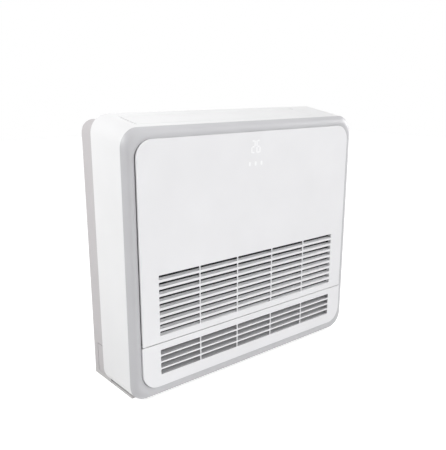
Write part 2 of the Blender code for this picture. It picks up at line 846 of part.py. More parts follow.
def build_front_panel(hinge):
    """The opening panel: a sheet with a rim, a curled lower edge, intake slots and two hinge pins."""
    low = PANEL_AXIS_Z
    outline = rounded_outline(-PANEL_HALF, PANEL_HALF, low, PANEL_TOP, KEEN, PANEL_RADIUS)
    sheet = plate("Y", [outline], FRONT_Y, FRONT_Y + PANEL_RIM)
    panel = place("front_panel", sheet, "white_panel", hinge)
    inside = rounded_outline(
        -PANEL_HALF + WALL,
        PANEL_HALF - WALL,
        low - ROLL,
        PANEL_TOP - WALL,
        SHARP,
        PANEL_RADIUS - WALL,
    )
    cut(panel, plate("Y", [inside], FRONT_Y + PANEL_WALL, FRONT_Y + 2 * PANEL_RIM))
    block = box(
        -GRILLE_HALF - BLOCK_EDGE,
        GRILLE_HALF + BLOCK_EDGE,
        FRONT_Y + PANEL_WALL / 2,
        FRONT_Y + UPPER_DEPTH,
        UPPER_TOP - (UPPER_ROWS - 1) * UPPER_PITCH - UPPER_SLOT - BLOCK_FOOT,
        UPPER_TOP + BLOCK_EDGE,
    )
    add(panel, block)
    section = curled_edge(PANEL_WALL, ROLL, SUNK, ROLL_REACH)
    curl = [(y + PANEL_AXIS_Y, z + PANEL_AXIS_Z) for y, z in section]
    add(panel, plate("X", [curl], -PANEL_HALF, PANEL_HALF))
    cheeks = []
    pins = []
    for side in (-1, 1):
        for edge in (-1, 1):
            inner = side * EAR_X + edge * (EAR_WIDE / 2 + SEAT)
            near, far = sorted((inner, inner + edge * CHEEK))
            cheeks.append(rod("X", PANEL_AXIS_Y, PANEL_AXIS_Z, near, far, ROLL - ROLL_EASE, 24))
        reach = (EAR_WIDE + CHEEK) / 2
        start = side * EAR_X - reach
        pins.append(rod("X", PANEL_AXIS_Y, PANEL_AXIS_Z, start, start + 2 * reach, PANEL_PIN))
    add(panel, merged(*cheeks))
    add(panel, merged(*pins))
    pegs = [
        rod("Y", x, CATCH_Z, FRONT_Y + PANEL_WALL / 2, RECESS_Y - PEG_SHORT, PEG_RADIUS, 12)
        for x in (-CATCH_X, CATCH_X)
    ]
    add(panel, merged(*pegs))
    cut_slots(panel, UPPER_ROWS, UPPER_PITCH, UPPER_TOP, UPPER_SLOT, UPPER_RISE, UPPER_DEPTH)
    return panel


def build_panel_catches():
    """Two clips on the fascia that hold the panel's pegs."""
    for name, x in (("catch_left", -CATCH_X), ("catch_right", CATCH_X)):
        ring = [circle(x, CATCH_Z, CATCH_RADIUS, 16), circle(x, CATCH_Z, PEG_RADIUS + PEG_FIT, 12)]
        place(name, plate("Y", ring, RECESS_Y - CATCH_PROUD, FASCIA_FRONT - SEAT), "grey_plastic")


def build_fascia():
    """The inner frame behind the ring: it has the intake windows, the filter rails and the hinge ears."""
    post = FILTER_POST + SHEET
    bottom = PAN_BOTTOM + SEAT
    top = PANEL_TOP + FASCIA_RAISED
    loops = [
        rounded_outline(-REAR_HALF, REAR_HALF, bottom, top, STEP_RADIUS, FASCIA_RADIUS),
        rectangle(COIL_LEFT - INTAKE_SIDE, FAN_X - post, INTAKE_BOTTOM, INTAKE_TOP),
        rectangle(FAN_X + post, COIL_RIGHT + INTAKE_SIDE, INTAKE_BOTTOM, INTAKE_TOP),
        circle(BUTTON_X, BUTTON_Z, BUTTON_RADIUS + SEAT),
    ]
    fascia = place("inner_fascia", plate("Y", loops, FASCIA_FRONT, FASCIA_REAR), "grey_plastic")
    webs = []
    lips = []
    root = FASCIA_FRONT + WALL / 2
    rail_top = FILTER_TOP + FILTER_TRAVEL
    lip_front = FILTER_FRONT - SHEET - SEAT
    for x, sides in ((FILTER_LEFT, (1,)), (FAN_X, (-1, 1)), (FILTER_RIGHT, (-1,))):
        web = FILTER_POST if len(sides) == 2 else SHEET
        centre = x if len(sides) == 2 else x - sides[0] * (SHEET / 2 + SEAT)
        low = centre - web / 2
        high = centre + web / 2
        webs.append(box(low, high, lip_front + SHEET / 2, root, FILTER_BOTTOM, rail_top))
        lip_low = low - (RAIL_LIP if -1 in sides else 0.0)
        lip_high = high + (RAIL_LIP if 1 in sides else 0.0)
        lip_rear = lip_front + SHEET
        lips.append(box(lip_low, lip_high, lip_front, lip_rear, FILTER_BOTTOM + SEAT, rail_top - SEAT))
    add(fascia, merged(*webs))
    add(fascia, merged(*lips))
    stop = box(
        FILTER_LEFT, FILTER_RIGHT, FILTER_FRONT, root, FILTER_BOTTOM - SHEET, FILTER_BOTTOM - SEAT
    )
    add(fascia, stop)
    for side in (-1, 1):
        low = side * EAR_X - EAR_WIDE / 2
        high = side * EAR_X + EAR_WIDE / 2
        stem_low = PANEL_AXIS_Z - STEM_BELOW
        add(fascia, box(low, high, PANEL_AXIS_Y, root, stem_low, PANEL_AXIS_Z + STEM_ABOVE))
        eye_radius = ROLL - PANEL_WALL - EAR_EASE
        add(fascia, rod("X", PANEL_AXIS_Y, PANEL_AXIS_Z, low, high, eye_radius, 20))
        bore = PANEL_PIN + SEAT
        cut(fascia, rod("X", PANEL_AXIS_Y, PANEL_AXIS_Z, low - SUNK, high + SUNK, bore))
    return fascia


def build_rear_casing():
    """A cover with a back wall, two sides and a top, open at the front and underneath."""
    bottom = BASE_RIM + SEAT
    front = CASE_REAR - REAR_OVERLAP
    outline = rounded_outline(-REAR_HALF, REAR_HALF, bottom, REAR_TOP, SHARP, REAR_RADIUS)
    casing = place("rear_casing", plate("Y", [outline], front, BACK_Y), "white_shell")
    inside = rounded_outline(
        -REAR_HALF + WALL,
        REAR_HALF - WALL,
        bottom - REAR_OVERLAP,
        REAR_TOP - WALL,
        SHARP,
        REAR_RADIUS - WALL,
    )
    cut(casing, plate("Y", [inside], front - REAR_OVERLAP, BACK_Y - WALL))
    for side in (-1, 1):
        low, high = sorted((side * (REAR_HALF - 2 * WALL), side * (REAR_HALF + WALL)))
        cut(casing, box(low, high, front - WALL, COVER_REAR, bottom - WALL, COVER_TOP))
    hang = box(-HANG_HALF, HANG_HALF, BACK_Y - 2 * WALL, BACK_Y + WALL, HANG_Z, HANG_Z + HANG_TALL)
    cut(casing, hang)
    return casing


def build_pipe_covers():
    """The two covers in the lower rear sides, which come off where the pipes leave."""
    bottom = BASE_RIM + SEAT
    front = CASE_REAR + SEAT
    rear = COVER_REAR - SEAT
    top = COVER_TOP - SEAT
    for name, side in (("pipe_cover_left", -1), ("pipe_cover_right", 1)):
        low, high = sorted((side * (REAR_HALF - WALL), side * REAR_HALF))
        cover = place(name, box(low, high, front, rear, bottom, top), "white_shell")
        inner = side * (REAR_HALF - WALL - SEAT)
        near, far = sorted((inner - side * SHEET / 2, side * (REAR_HALF - WALL / 2)))
        neck = box(
            near,
            far,
            front + LIP_INSET,
            rear - LIP_INSET,
            bottom + NECK_INSET,
            top - NECK_INSET,
        )
        add(cover, neck)
        near, far = sorted((inner, inner - side * SHEET))
        lip = box(
            near,
            far,
            front + LIP_FRONT,
            rear + LIP_BEHIND,
            bottom + LIP_INSET,
            top - LIP_INSET,
        )
        add(cover, lip)


def build_base_plate():
    """A pressed steel tray that the unit stands on, deeper behind the front casing."""
    base = place(
        "base_plate",
        box(-REAR_HALF, REAR_HALF, BASE_FRONT, BACK_Y, 0.0, BASE_THICK),
        "sheet_steel",
    )
    rim_front = CASE_REAR + SEAT
    add(base, box(-REAR_HALF, REAR_HALF, rim_front, BACK_Y, BASE_THICK / 2, BASE_RIM))
    cut(
        base,
        box(
            -REAR_HALF + SHEET,
            REAR_HALF - SHEET,
            rim_front + SHEET,
            BACK_Y - SHEET,
            SHEET,
            BASE_RIM + SHEET,
        ),
    )
    return base


def build_fan_chamber():
    """The housing round the fan: two sides and a back, open to the outlets above and below."""
    left = FAN_X - CHAMBER_HALF
    right = FAN_X + CHAMBER_HALF
    front = MOUTH_Y + WALL + SEAT
    outline = [
        (left, front),
        (left + SHEET, front),
        (left + SHEET, CHAMBER_REAR - WALL),
        (right - SHEET, CHAMBER_REAR - WALL),
        (right - SHEET, front),
        (right, front),
        (right, CHAMBER_REAR),
        (left, CHAMBER_REAR),
    ]
    bottom = DUCT_TOP + SEAT
    chamber = place("fan_chamber", plate("Z", [outline], bottom, CHAMBER_TOP), "duct_plastic")
    cut(
        chamber,
        rod("Y", FAN_X, FAN_Z, CHAMBER_REAR - 2 * WALL, CHAMBER_REAR + WALL, MOTOR_NECK + SEAT, 32),
    )
    return chamber


def build_bell_mouth():
    """The plate in front of the fan, with a short collar that leads the air into the wheel."""
    half = CHAMBER_HALF + MOUTH_SIDE
    loops = [
        rectangle(FAN_X - half, FAN_X + half, DUCT_TOP + SEAT, CHAMBER_TOP),
        circle(FAN_X, FAN_Z, MOUTH_RADIUS, 32),
    ]
    mouth = place("bell_mouth", plate("Y", loops, MOUTH_Y, MOUTH_Y + WALL), "duct_plastic")
    collar = [
        circle(FAN_X, FAN_Z, MOUTH_RADIUS + SHEET, 32),
        circle(FAN_X, FAN_Z, MOUTH_RADIUS, 32),
    ]
    add(mouth, plate("Y", collar, MOUTH_Y + WALL / 2, WHEEL_FRONT + SEAT))
    return mouth


def blade_outline(turn):
    """One curved fan blade in plan, seen along the shaft, swept back against the turn."""
    start = math.radians(turn)
    points = []
    for side in (1, -1):
        steps = range(BLADE_STEPS + 1) if side == 1 else range(BLADE_STEPS, -1, -1)
        for step in steps:
            share = step / BLADE_STEPS
            radius = BLADE_INNER + share * (WHEEL_RADIUS - BLADE_SHORT - BLADE_INNER)
            angle = start - BLADE_SWEEP * share**BLADE_BOW + side * BLADE_THICK / 2 / radius
            points.append((FAN_X + radius * math.cos(angle), FAN_Z + radius * math.sin(angle)))
    return points


def build_fan(axle):
    """The wheel, its shaft and its nut, all turning together."""
    disc = rod("Y", FAN_X, FAN_Z, WHEEL_REAR - WHEEL_WALL, WHEEL_REAR, WHEEL_RADIUS, WHEEL_SIDES)
    wheel = place("fan_wheel", disc, "grey_plastic", axle)
    half_wall = WHEEL_WALL / 2
    blades = [
        plate(
            "Y",
            [blade_outline(BLADE_START + 360 * k / BLADES)],
            WHEEL_FRONT + half_wall,
            WHEEL_REAR - half_wall,
        )
        for k in range(BLADES)
    ]
    add(wheel, merged(*blades))
    shroud = [
        circle(FAN_X, FAN_Z, WHEEL_RADIUS, WHEEL_SIDES),
        circle(FAN_X, FAN_Z, WHEEL_EYE, WHEEL_SIDES),
    ]
    add(wheel, plate("Y", shroud, WHEEL_FRONT, WHEEL_FRONT + WHEEL_WALL))
    hub_front = WHEEL_REAR - HUB_DEEP
    add(wheel, rod("Y", FAN_X, FAN_Z, hub_front, WHEEL_REAR - half_wall, HUB_RADIUS, 20))
    bore = SHAFT_RADIUS + BORE_FIT
    cut(wheel, rod("Y", FAN_X, FAN_Z, hub_front - SHEET, WHEEL_REAR + SHEET, bore, 16))
    nut_rear = hub_front - SEAT
    nut_front = nut_rear - NUT_THICK
    shaft = rod("Y", FAN_X, FAN_Z, nut_front - SHAFT_PROUD, MOTOR_FRONT + SHAFT_SUNK, SHAFT_RADIUS, 16)
    place("motor_shaft", shaft, "steel", axle)
    nut = [circle(FAN_X, FAN_Z, NUT_RADIUS, 6), circle(FAN_X, FAN_Z, bore, 16)]
    place("fan_nut", plate("Y", nut, nut_front, nut_rear), "steel", axle)


def build_motor():
    """The fan motor: a round can with a neck through the chamber's back wall, and the bracket behind it."""
    can_rear = CHAMBER_REAR - WALL - SEAT
    can = rod("Y", FAN_X, FAN_Z, MOTOR_FRONT, can_rear, MOTOR_RADIUS, 32)
    motor = place("fan_motor", can, "dark_plastic")
    neck_rear = CHAMBER_REAR + SEAT
    add(motor, rod("Y", FAN_X, FAN_Z, can_rear - NECK_ROOT, neck_rear, MOTOR_NECK, 32))
    bore = SHAFT_RADIUS + BORE_FIT
    cut(motor, rod("Y", FAN_X, FAN_Z, MOTOR_FRONT - SHEET, MOTOR_FRONT + BORE_DEEP, bore, 16))
    front = neck_rear + SEAT
    outline = rounded_outline(
        FAN_X - BRACKET_HALF,
        FAN_X + BRACKET_HALF,
        FAN_Z - BRACKET_RISE,
        FAN_Z + BRACKET_RISE,
        BRACKET_RADIUS,
        BRACKET_RADIUS,
        BRACKET_STEPS,
    )
    bracket = place("motor_bracket", plate("Y", [outline], front, front + SHEET), "sheet_steel")
    rib_half = BRACKET_HALF - BRACKET_INSET
    ribs = []
    for side in (-1, 1):
        z = FAN_Z + side * (BRACKET_RISE - BRACKET_INSET)
        ribs.append(
            box(
                FAN_X - rib_half,
                FAN_X + rib_half,
                front + SHEET / 2,
                BACK_Y - WALL - SEAT,
                z - SHEET / 2,
                z + SHEET / 2,
            )
        )
    add(bracket, merged(*ribs))


def build_coil():
    """The cooling coil, with a plate at each end that holds the bent ends of its tubes."""
    bottom = PAN_BOTTOM + SHEET + SEAT
    core = box(COIL_LEFT, COIL_RIGHT, COIL_FRONT, COIL_REAR, bottom, COIL_TOP)
    place("evaporator_coil", core, "coil_fins")
    pitch = (COIL_TOP - bottom) / (BENDS + BEND_FIRST - 1 / 4)
    half = pitch / 4
    for name, side, face in (("coil_end_left", -1, COIL_LEFT), ("coil_end_right", 1, COIL_RIGHT)):
        near = face + side * SEAT
        far = near + side * END_PLATE
        low, high = sorted((near, far))
        end = place(name, box(low, high, COIL_FRONT, COIL_REAR, bottom, COIL_TOP), "sheet_steel")
        root = (near + far) / 2
        bends = []
        for k in range(BENDS):
            centre = bottom + (k + BEND_FIRST) * pitch
            loop = [(root, COIL_MIDDLE_Y, centre - half)]
            for step in range(BEND_STEPS + 1):
                angle = math.pi * step / BEND_STEPS
                x = far + side * (BEND_NECK + BEND_REACH * math.sin(angle))
                loop.append((x, COIL_MIDDLE_Y, centre - half * math.cos(angle)))
            loop.append((root, COIL_MIDDLE_Y, centre + half))
            bends.append(tube(loop, BEND_PIPE, 1))
        add(end, merged(*bends))


def build_drain_pan():
    """The tray under the coil, with a spout at its left end."""
    left = COIL_LEFT - PAN_LEFT
    right = COIL_RIGHT + PAN_RIGHT
    front = COIL_FRONT - PAN_FRONT
    rear = MOUTH_Y + WALL - SEAT
    top = PAN_BOTTOM + PAN_DEEP
    pan = place("drain_pan", box(left, right, front, rear, PAN_BOTTOM, top), "duct_plastic")
    trough = box(
        left + SHEET,
        right - SHEET,
        front + SHEET,
        COIL_REAR + SHEET,
        PAN_BOTTOM + SHEET,
        top + SHEET,
    )
    cut(pan, trough)
    middle = (front + rear) / 2
    spout_z = PAN_BOTTOM + SPOUT_RAISED
    spout_end = left - SPOUT_LONG
    add(pan, rod("X", middle, spout_z, spout_end, left + SHEET / 2, SPOUT_RADIUS))
    cut(pan, rod("X", middle, spout_z, spout_end - SHEET, left + 2 * SHEET, SPOUT_BORE))


def build_pipes():
    """The two refrigerant pipes from the coil to the lower left, each with its flare nut."""
    face = COIL_LEFT - SEAT - END_PLATE - SEAT
    gas_x = PIPE_BAY_X - GAS_SIDE
    gas_end = CASE_REAR + GAS_BEHIND
    liquid_end = gas_end - PIPE_APART_Y
    gas = ("gas", GAS_RADIUS, GAS_NUT, gas_x, GAS_SETBACK, GAS_RAISED, gas_end)
    liquid = (
        "liquid",
        LIQUID_RADIUS,
        LIQUID_NUT,
        gas_x + PIPE_APART_X,
        LIQUID_SETBACK,
        LIQUID_RAISED,
        liquid_end,
    )
    for name, radius, nut_radius, x, setback, raised, end_y in (gas, liquid):
        y = COIL_FRONT + setback
        z = PAN_BOTTOM + raised
        points = [(face, y, z), (x, y, z), (x, end_y, z - PIPE_FALL), (x, end_y, PIPE_END_Z)]
        place(name + "_pipe", tube(rounded(points, PIPE_BEND, PIPE_STEPS), radius, 2), "copper")
        nut = [circle(x, end_y, nut_radius, 6), circle(x, end_y, radius + BORE_FIT, 16)]
        low = PIPE_END_Z + FLARE_PROUD
        place(name + "_flare_nut", plate("Z", nut, low, low + FLARE_LONG), "brass")


def build_lower_duct():
    """The scoop that turns the air from the fan forwards to the lower grille."""
    rear = CHAMBER_REAR - WALL
    step_y = MOUTH_Y + WALL + SEAT + SUNK
    ceiling = PAN_BOTTOM - SEAT
    flat_rear = rear - DUCT_TURN
    flat_front = flat_rear - DUCT_FLAT
    sweep_z = DUCT_LOW + DUCT_SWEEP_RISE
    ahead = DUCT_FRONT - WALL
    floor = DUCT_LIP + (ahead - DUCT_FRONT) * (DUCT_LIP - DUCT_LOW) / (DUCT_FRONT - flat_front)

    def sweep(radius):
        """The curve of the rear wall."""
        return arc(rear - DUCT_SWEEP, sweep_z, radius, -DUCT_SWEEP_ANGLE, 0, DUCT_SWEEP_STEPS)

    outer = (
        [(DUCT_FRONT, DUCT_LIP), (flat_front, DUCT_LOW), (flat_rear, DUCT_LOW + DUCT_FLAT_RISE)]
        + sweep(DUCT_SWEEP)
        + [(rear, DUCT_TOP), (step_y, DUCT_TOP), (step_y, ceiling), (DUCT_FRONT, ceiling)]
    )
    inner = (
        [
            (ahead, floor + SHEET),
            (flat_front, DUCT_LOW + SHEET),
            (flat_rear - EAR_EASE, DUCT_LOW + DUCT_FLAT_RISE + SHEET),
        ]
        + sweep(DUCT_SWEEP - SHEET)
        + [
            (rear - SHEET, DUCT_TOP - SHEET),
            (step_y + SHEET, DUCT_TOP - SHEET),
            (step_y + SHEET, ceiling - SHEET),
            (ahead, ceiling - SHEET),
        ]
    )
    duct = place("lower_duct", plate("X", [outer], -DUCT_HALF, DUCT_HALF), "duct_plastic")
    cut(duct, plate("X", [inner], -DUCT_HALF + SHEET, DUCT_HALF - SHEET))
    throat = box(
        FAN_X - CHAMBER_HALF + SHEET,
        FAN_X + CHAMBER_HALF - SHEET,
        step_y + 2 * SHEET,
        rear - 2 * SHEET,
        DUCT_TOP - 2 * SHEET,
        DUCT_TOP + SHEET,
    )
    cut(duct, throat)
    reach = DUCT_HALF + SHEET
    cut(duct, rod("X", DAMPER_Y, DAMPER_Z, -reach, reach, DAMPER_PIN + SEAT))
    return duct


def build_damper(hinge):
    """The shutter behind the lower grille, hung on pins at its upper edge, and its motor."""
    half = DUCT_HALF - SHEET - DAMPER_SIDE
    front = DAMPER_Y - DAMPER_THICK / 2
    leaf = box(-half, half, front, front + DAMPER_THICK, DAMPER_Z - DAMPER_DROP, DAMPER_Z)
    damper = place("outlet_damper", leaf, "duct_plastic", hinge)
    knuckle = half - SEAT
    add(damper, rod("X", DAMPER_Y, DAMPER_Z, -knuckle, knuckle, DAMPER_KNUCKLE))
    pins = [
        rod("X", DAMPER_Y, DAMPER_Z, low, high, DAMPER_PIN)
        for low, high in ((-DUCT_HALF, -half + PIN_ROOT), (half - PIN_ROOT, DUCT_HALF))
    ]
    add(damper, merged(*pins))
    right = -DUCT_HALF - SEAT
    motor = rod(
        "X",
        DAMPER_Y + DAMPER_MOTOR_BEHIND,
        DAMPER_Z - DAMPER_MOTOR_DROP,
        right - DAMPER_MOTOR_LONG,
        right,
        DAMPER_MOTOR_RADIUS,
        20,
    )
    place("damper_motor", motor, "dark_plastic")


def outlet_section(inset, z, spread):
    """A rectangle of the top outlet. spread 0 is the fan chamber's shape and 1 is the flap's."""
    start = (FAN_X - CHAMBER_HALF, FAN_X + CHAMBER_HALF, MOUTH_Y + WALL + SEAT, CHAMBER_REAR)
    end = (FLAP_LEFT + SEAT, FLAP_RIGHT - SEAT, FLAP_FRONT + SEAT, FLAP_REAR - SEAT)
    x0, x1, y0, y1 = (a + spread * (b - a) for a, b in zip(start, end))
    return [(x, y, z) for x, y in rectangle(x0 + inset, x1 - inset, y0 + inset, y1 - inset)]


def sloped_section(inset):
    """The top edge of the top outlet, which lies just under the flap."""
    section = outlet_section(inset, OUTLET_KNEE, 1.0)
    return [(x, y, top_height(y) - OUTLET_SINK) for x, y, _ in section]


def build_top_outlet():
    """The flared duct from the fan chamber to the flap, with the two ears that hold the flap's pins."""
    bottom = CHAMBER_TOP + SEAT
    sections = [
        outlet_section(0.0, bottom, 0.0),
        outlet_section(0.0, OUTLET_KNEE, 1.0),
        sloped_section(0.0),
        sloped_section(SHEET),
        outlet_section(SHEET, OUTLET_KNEE + SHEET / 2, 1.0),
        outlet_section(SHEET, bottom, 0.0),
    ]
    outlet = place("top_outlet", ring_loft(sections), "duct_plastic")
    ears = []
    feet = []
    bores = []
    front = FLAP_AXIS_Y - OUTLET_EAR
    rear = FLAP_AXIS_Y + OUTLET_EAR
    for edge, side in ((FLAP_LEFT, -1), (FLAP_RIGHT, 1)):
        near, far = sorted((edge + side * 2 * SEAT, edge + side * OUTLET_EAR_THICK))
        low = FLAP_AXIS_Z - OUTLET_EAR_DROP
        ears.append(box(near, far, front, rear, low, FLAP_AXIS_Z + OUTLET_EAR_TOP))
        near, far = sorted((edge - side * SHEET / 2, edge + side * (OUTLET_EAR_THICK - SEAT)))
        foot_front = front + EAR_FOOT_SIDE
        foot_rear = rear - EAR_EASE
        low = FLAP_AXIS_Z - EAR_FOOT_DROP
        feet.append(box(near, far, foot_front, foot_rear, low, FLAP_AXIS_Z - EAR_FOOT_TOP))
        near, far = sorted((edge, edge + side * (OUTLET_EAR_THICK + SHEET)))
        bores.append(rod("X", FLAP_AXIS_Y, FLAP_AXIS_Z, near, far, FLAP_PIN + SEAT, 12))
    add(outlet, merged(*feet))
    add(outlet, merged(*ears))
    front = FLAP_FRONT - SHEET
    rear = FLAP_REAR + SHEET
    bores += [rod("Y", x, VANE_Z, front, rear, VANE_AXLE + SEAT, 8) for x in vane_places()]
    cut(outlet, merged(*bores))
    return outlet


def build_flap(hinge):
    """The top flap, flush with the sloping top and curled round its pins at the rear."""
    tilt = FLAP_TILT
    length = (FLAP_AXIS_Y - FLAP_FRONT) / math.cos(tilt) - FLAP_ROLL * math.tan(tilt)
    outline = []
    for a, b in curled_edge(FLAP_WALL, FLAP_ROLL, length, FLAP_REACH):
        y = -b * math.cos(tilt) + a * math.sin(tilt)
        z = -b * math.sin(tilt) - a * math.cos(tilt)
        outline.append((FLAP_AXIS_Y + y, FLAP_AXIS_Z + z))
    flap = place("top_flap", plate("X", [outline], FLAP_LEFT, FLAP_RIGHT), "white_shell", hinge)
    cheek_ends = ((FLAP_LEFT + SEAT, FLAP_LEFT + CHEEK), (FLAP_RIGHT - CHEEK, FLAP_RIGHT - SEAT))
    radius = FLAP_ROLL - ROLL_EASE
    cheeks = [rod("X", FLAP_AXIS_Y, FLAP_AXIS_Z, low, high, radius, 20) for low, high in cheek_ends]
    add(flap, merged(*cheeks))
    pin_ends = (
        (FLAP_LEFT - EAR_REACH, FLAP_LEFT + CHEEK / 2),
        (FLAP_RIGHT - CHEEK / 2, FLAP_RIGHT + EAR_REACH),
    )
    pins = [rod("X", FLAP_AXIS_Y, FLAP_AXIS_Z, low, high, FLAP_PIN, 12) for low, high in pin_ends]
    add(flap, merged(*pins))
    return flap


def vane_places():
    return [VANE_FIRST + k * VANE_PITCH for k in range(VANES)]


def build_vanes():
    """The swinging vanes of the top outlet, each on its own axis, and the bar that links them."""
    low_z = VANE_Z - VANE_TALL / 2
    lever_z = VANE_Z - VANE_LEVER
    front = FLAP_FRONT + SEAT
    rear = FLAP_REAR - SEAT
    lever_front = LINK_Y - LEVER_HALF
    lever_rear = LINK_Y + LEVER_HALF
    notch_front = LINK_Y - LEVER_NOTCH
    notch_rear = LINK_Y + LEVER_NOTCH
    for number, x in enumerate(vane_places(), start=1):
        axle = joint_empty(f"vane_{number}_axis", (x, LINK_Y, VANE_Z))
        half = VANE_THICK / 2
        blade = box(x - half, x + half, front + 2 * SHEET, rear - 2 * SHEET, low_z, low_z + VANE_TALL)
        vane = place(f"vane_{number}", blade, "duct_plastic", axle)
        thin = half - SEAT / 2
        foot = lever_z - LEVER_FOOT
        add(vane, box(x - thin, x + thin, lever_front, lever_rear, foot, low_z + LEVER_HALF))
        notch_low = lever_z - NOTCH_BELOW
        notch_high = low_z + NOTCH_ABOVE
        wide = NOTCH_WIDE
        cut(vane, box(x - wide, x + wide, notch_front, notch_rear, notch_low, notch_high))
        add(vane, rod("Y", x, lever_z, notch_front - SEAT, notch_rear + SEAT, VANE_PIN, 8))
        add(vane, rod("Y", x, VANE_Z, front, rear, VANE_AXLE, 8))
    slide = joint_empty("vane_link_slide", (VANE_FIRST, LINK_Y, lever_z))
    bar = box(
        VANE_FIRST - LINK_LEFT,
        vane_places()[-1] + LINK_RIGHT,
        LINK_Y - LINK_THICK / 2,
        LINK_Y + LINK_THICK / 2,
        lever_z - LINK_BELOW,
        lever_z + LINK_ABOVE,
    )
    link = place("vane_link", bar, "duct_plastic", slide)
    slot_half = VANE_PIN + 2 * SEAT
    slots = [
        box(
            x - slot_half,
            x + slot_half,
            LINK_Y - LINK_THICK,
            LINK_Y + LINK_THICK,
            lever_z - VANE_PIN - SEAT,
            lever_z + LINK_ABOVE + SHEET,
        )
        for x in vane_places()
    ]
    cut(link, merged(*slots))


def build_outlet_motors():
    """Small motors that turn the flap and the vanes."""
    left = FLAP_RIGHT + OUTLET_EAR_THICK + SEAT
    y = FLAP_AXIS_Y - FLAP_MOTOR_AHEAD
    z = FLAP_AXIS_Z - FLAP_MOTOR_DROP
    motor = rod("X", y, z, left, left + FLAP_MOTOR_LONG, SMALL_MOTOR_RADIUS, 20)
    place("flap_motor", motor, "dark_plastic")
    rear = FLAP_REAR + VANE_MOTOR_LONG
    motor = rod("Y", VANE_FIRST, VANE_Z, FLAP_REAR, rear, SMALL_MOTOR_RADIUS, 20)
    place("vane_motor", motor, "dark_plastic")


def build_filters():
    """Two intake filters, each a frame with a net behind it, that slide up out of their rails."""
    half_post = FILTER_POST / 2 + SEAT
    frame_rear = FILTER_FRONT + FILTER_THICK - FILTER_MESH - SEAT
    height = (FILTER_TOP - FILTER_BOTTOM - FILTER_EDGE) / FILTER_ROWS
    for name, left, right in (
        ("filter_left", FILTER_LEFT, FAN_X - half_post),
        ("filter_right", FAN_X + half_post, FILTER_RIGHT),
    ):
        slide = joint_empty(name + "_slide", ((left + right) / 2, FILTER_FRONT, FILTER_BOTTOM))
        loops = [rectangle(left, right, FILTER_BOTTOM, FILTER_TOP)]
        width = (right - left - FILTER_EDGE) / FILTER_COLUMNS
        for i in range(FILTER_COLUMNS):
            for j in range(FILTER_ROWS):
                a = left + FILTER_EDGE + i * width
                b = FILTER_BOTTOM + FILTER_EDGE + j * height
                loops.append(rectangle(a, a + width - FILTER_EDGE, b, b + height - FILTER_EDGE))
        place(name + "_frame", plate("Y", loops, FILTER_FRONT, frame_rear), "grey_plastic", slide)
        net = box(
            left + SHEET,
            right - SHEET,
            frame_rear + SEAT,
            FILTER_FRONT + FILTER_THICK,
            FILTER_BOTTOM + SHEET,
            FILTER_TOP - SHEET,
        )
        place(name + "_net", net, "filter_net", slide)


def build_control_box():
    """The steel tray of the electrical box, with its posts for the screws and the board, and its cover."""
    rear = BACK_Y - WALL - SEAT
    tray = place(
        "control_box",
        box(BOX_LEFT, BOX_RIGHT, BOX_FRONT, rear, BOX_BOTTOM, BOX_TOP),
        "sheet_steel",
    )
    floor = rear - BOX_WALL
    hollow = box(
        BOX_LEFT + BOX_WALL,
        BOX_RIGHT - BOX_WALL,
        BOX_FRONT - WALL,
        floor,
        BOX_BOTTOM + BOX_WALL,
        BOX_TOP - BOX_WALL,
    )
    cut(tray, hollow)
    root = rear - BOX_WALL / 2
    middle = (BOX_LEFT + BOX_RIGHT) / 2
    screw_places = (BOX_BOTTOM + SCREW_INSET, BOX_TOP - SCREW_INSET)
    left, right, bottom, top = board_edges()
    posts = [rod("Y", middle, z, BOX_FRONT + SEAT, root, SCREW_RADIUS + SHEET, 12) for z in screw_places]
    posts += [
        rod("Y", x, z, floor - BOARD_OUT + BOARD_THICK + SEAT, root, STAND_RADIUS, 10)
        for x in (left + STAND_INSET, right - STAND_INSET)
        for z in (bottom + STAND_INSET, top - STAND_INSET)
    ]
    add(tray, merged(*posts))
    bore = SCREW_RADIUS + SEAT
    holes = [
        rod("Y", middle, z, BOX_FRONT - WALL, BOX_FRONT + SCREW_DEEP, bore, 12) for z in screw_places
    ]
    cut(tray, merged(*holes))
    cover_rear = BOX_FRONT - SEAT
    cover_front = cover_rear - BOX_WALL
    loops = [rectangle(BOX_LEFT, BOX_RIGHT, BOX_BOTTOM, BOX_TOP)]
    loops += [circle(middle, z, bore, 12) for z in screw_places]
    place("control_box_cover", plate("Y", loops, cover_front, cover_rear), "sheet_steel")
    for number, z in enumerate(screw_places, start=1):
        build_cover_screw(f"cover_screw_{number}", middle, z, cover_front - SEAT)


def build_cover_screw(name, x, z, head_rear):
    """A screw with a slotted round head."""
    head_front = head_rear - HEAD_THICK
    screw = place(name, rod("Y", x, z, head_front, head_rear, HEAD_RADIUS, 16), "steel")
    add(screw, rod("Y", x, z, head_rear - HEAD_SUNK, BOX_FRONT + SCREW_LONG, SCREW_RADIUS, 10))
    half = HEAD_SLOT_WIDE / 2
    slot_rear = head_front + HEAD_SLOT_DEEP
    near = x - HEAD_SLOT_HALF
    far = x + HEAD_SLOT_HALF
    cut(screw, box(near, far, head_front - SHEET, slot_rear, z - half, z + half))


def board_edges():
    """Left, right, bottom and top of the circuit board."""
    return (
        BOX_LEFT + BOARD_SIDE,
        BOX_RIGHT - BOARD_SIDE,
        BOX_BOTTOM + BOARD_ABOVE,
        BOX_TOP - BOARD_BELOW,
    )


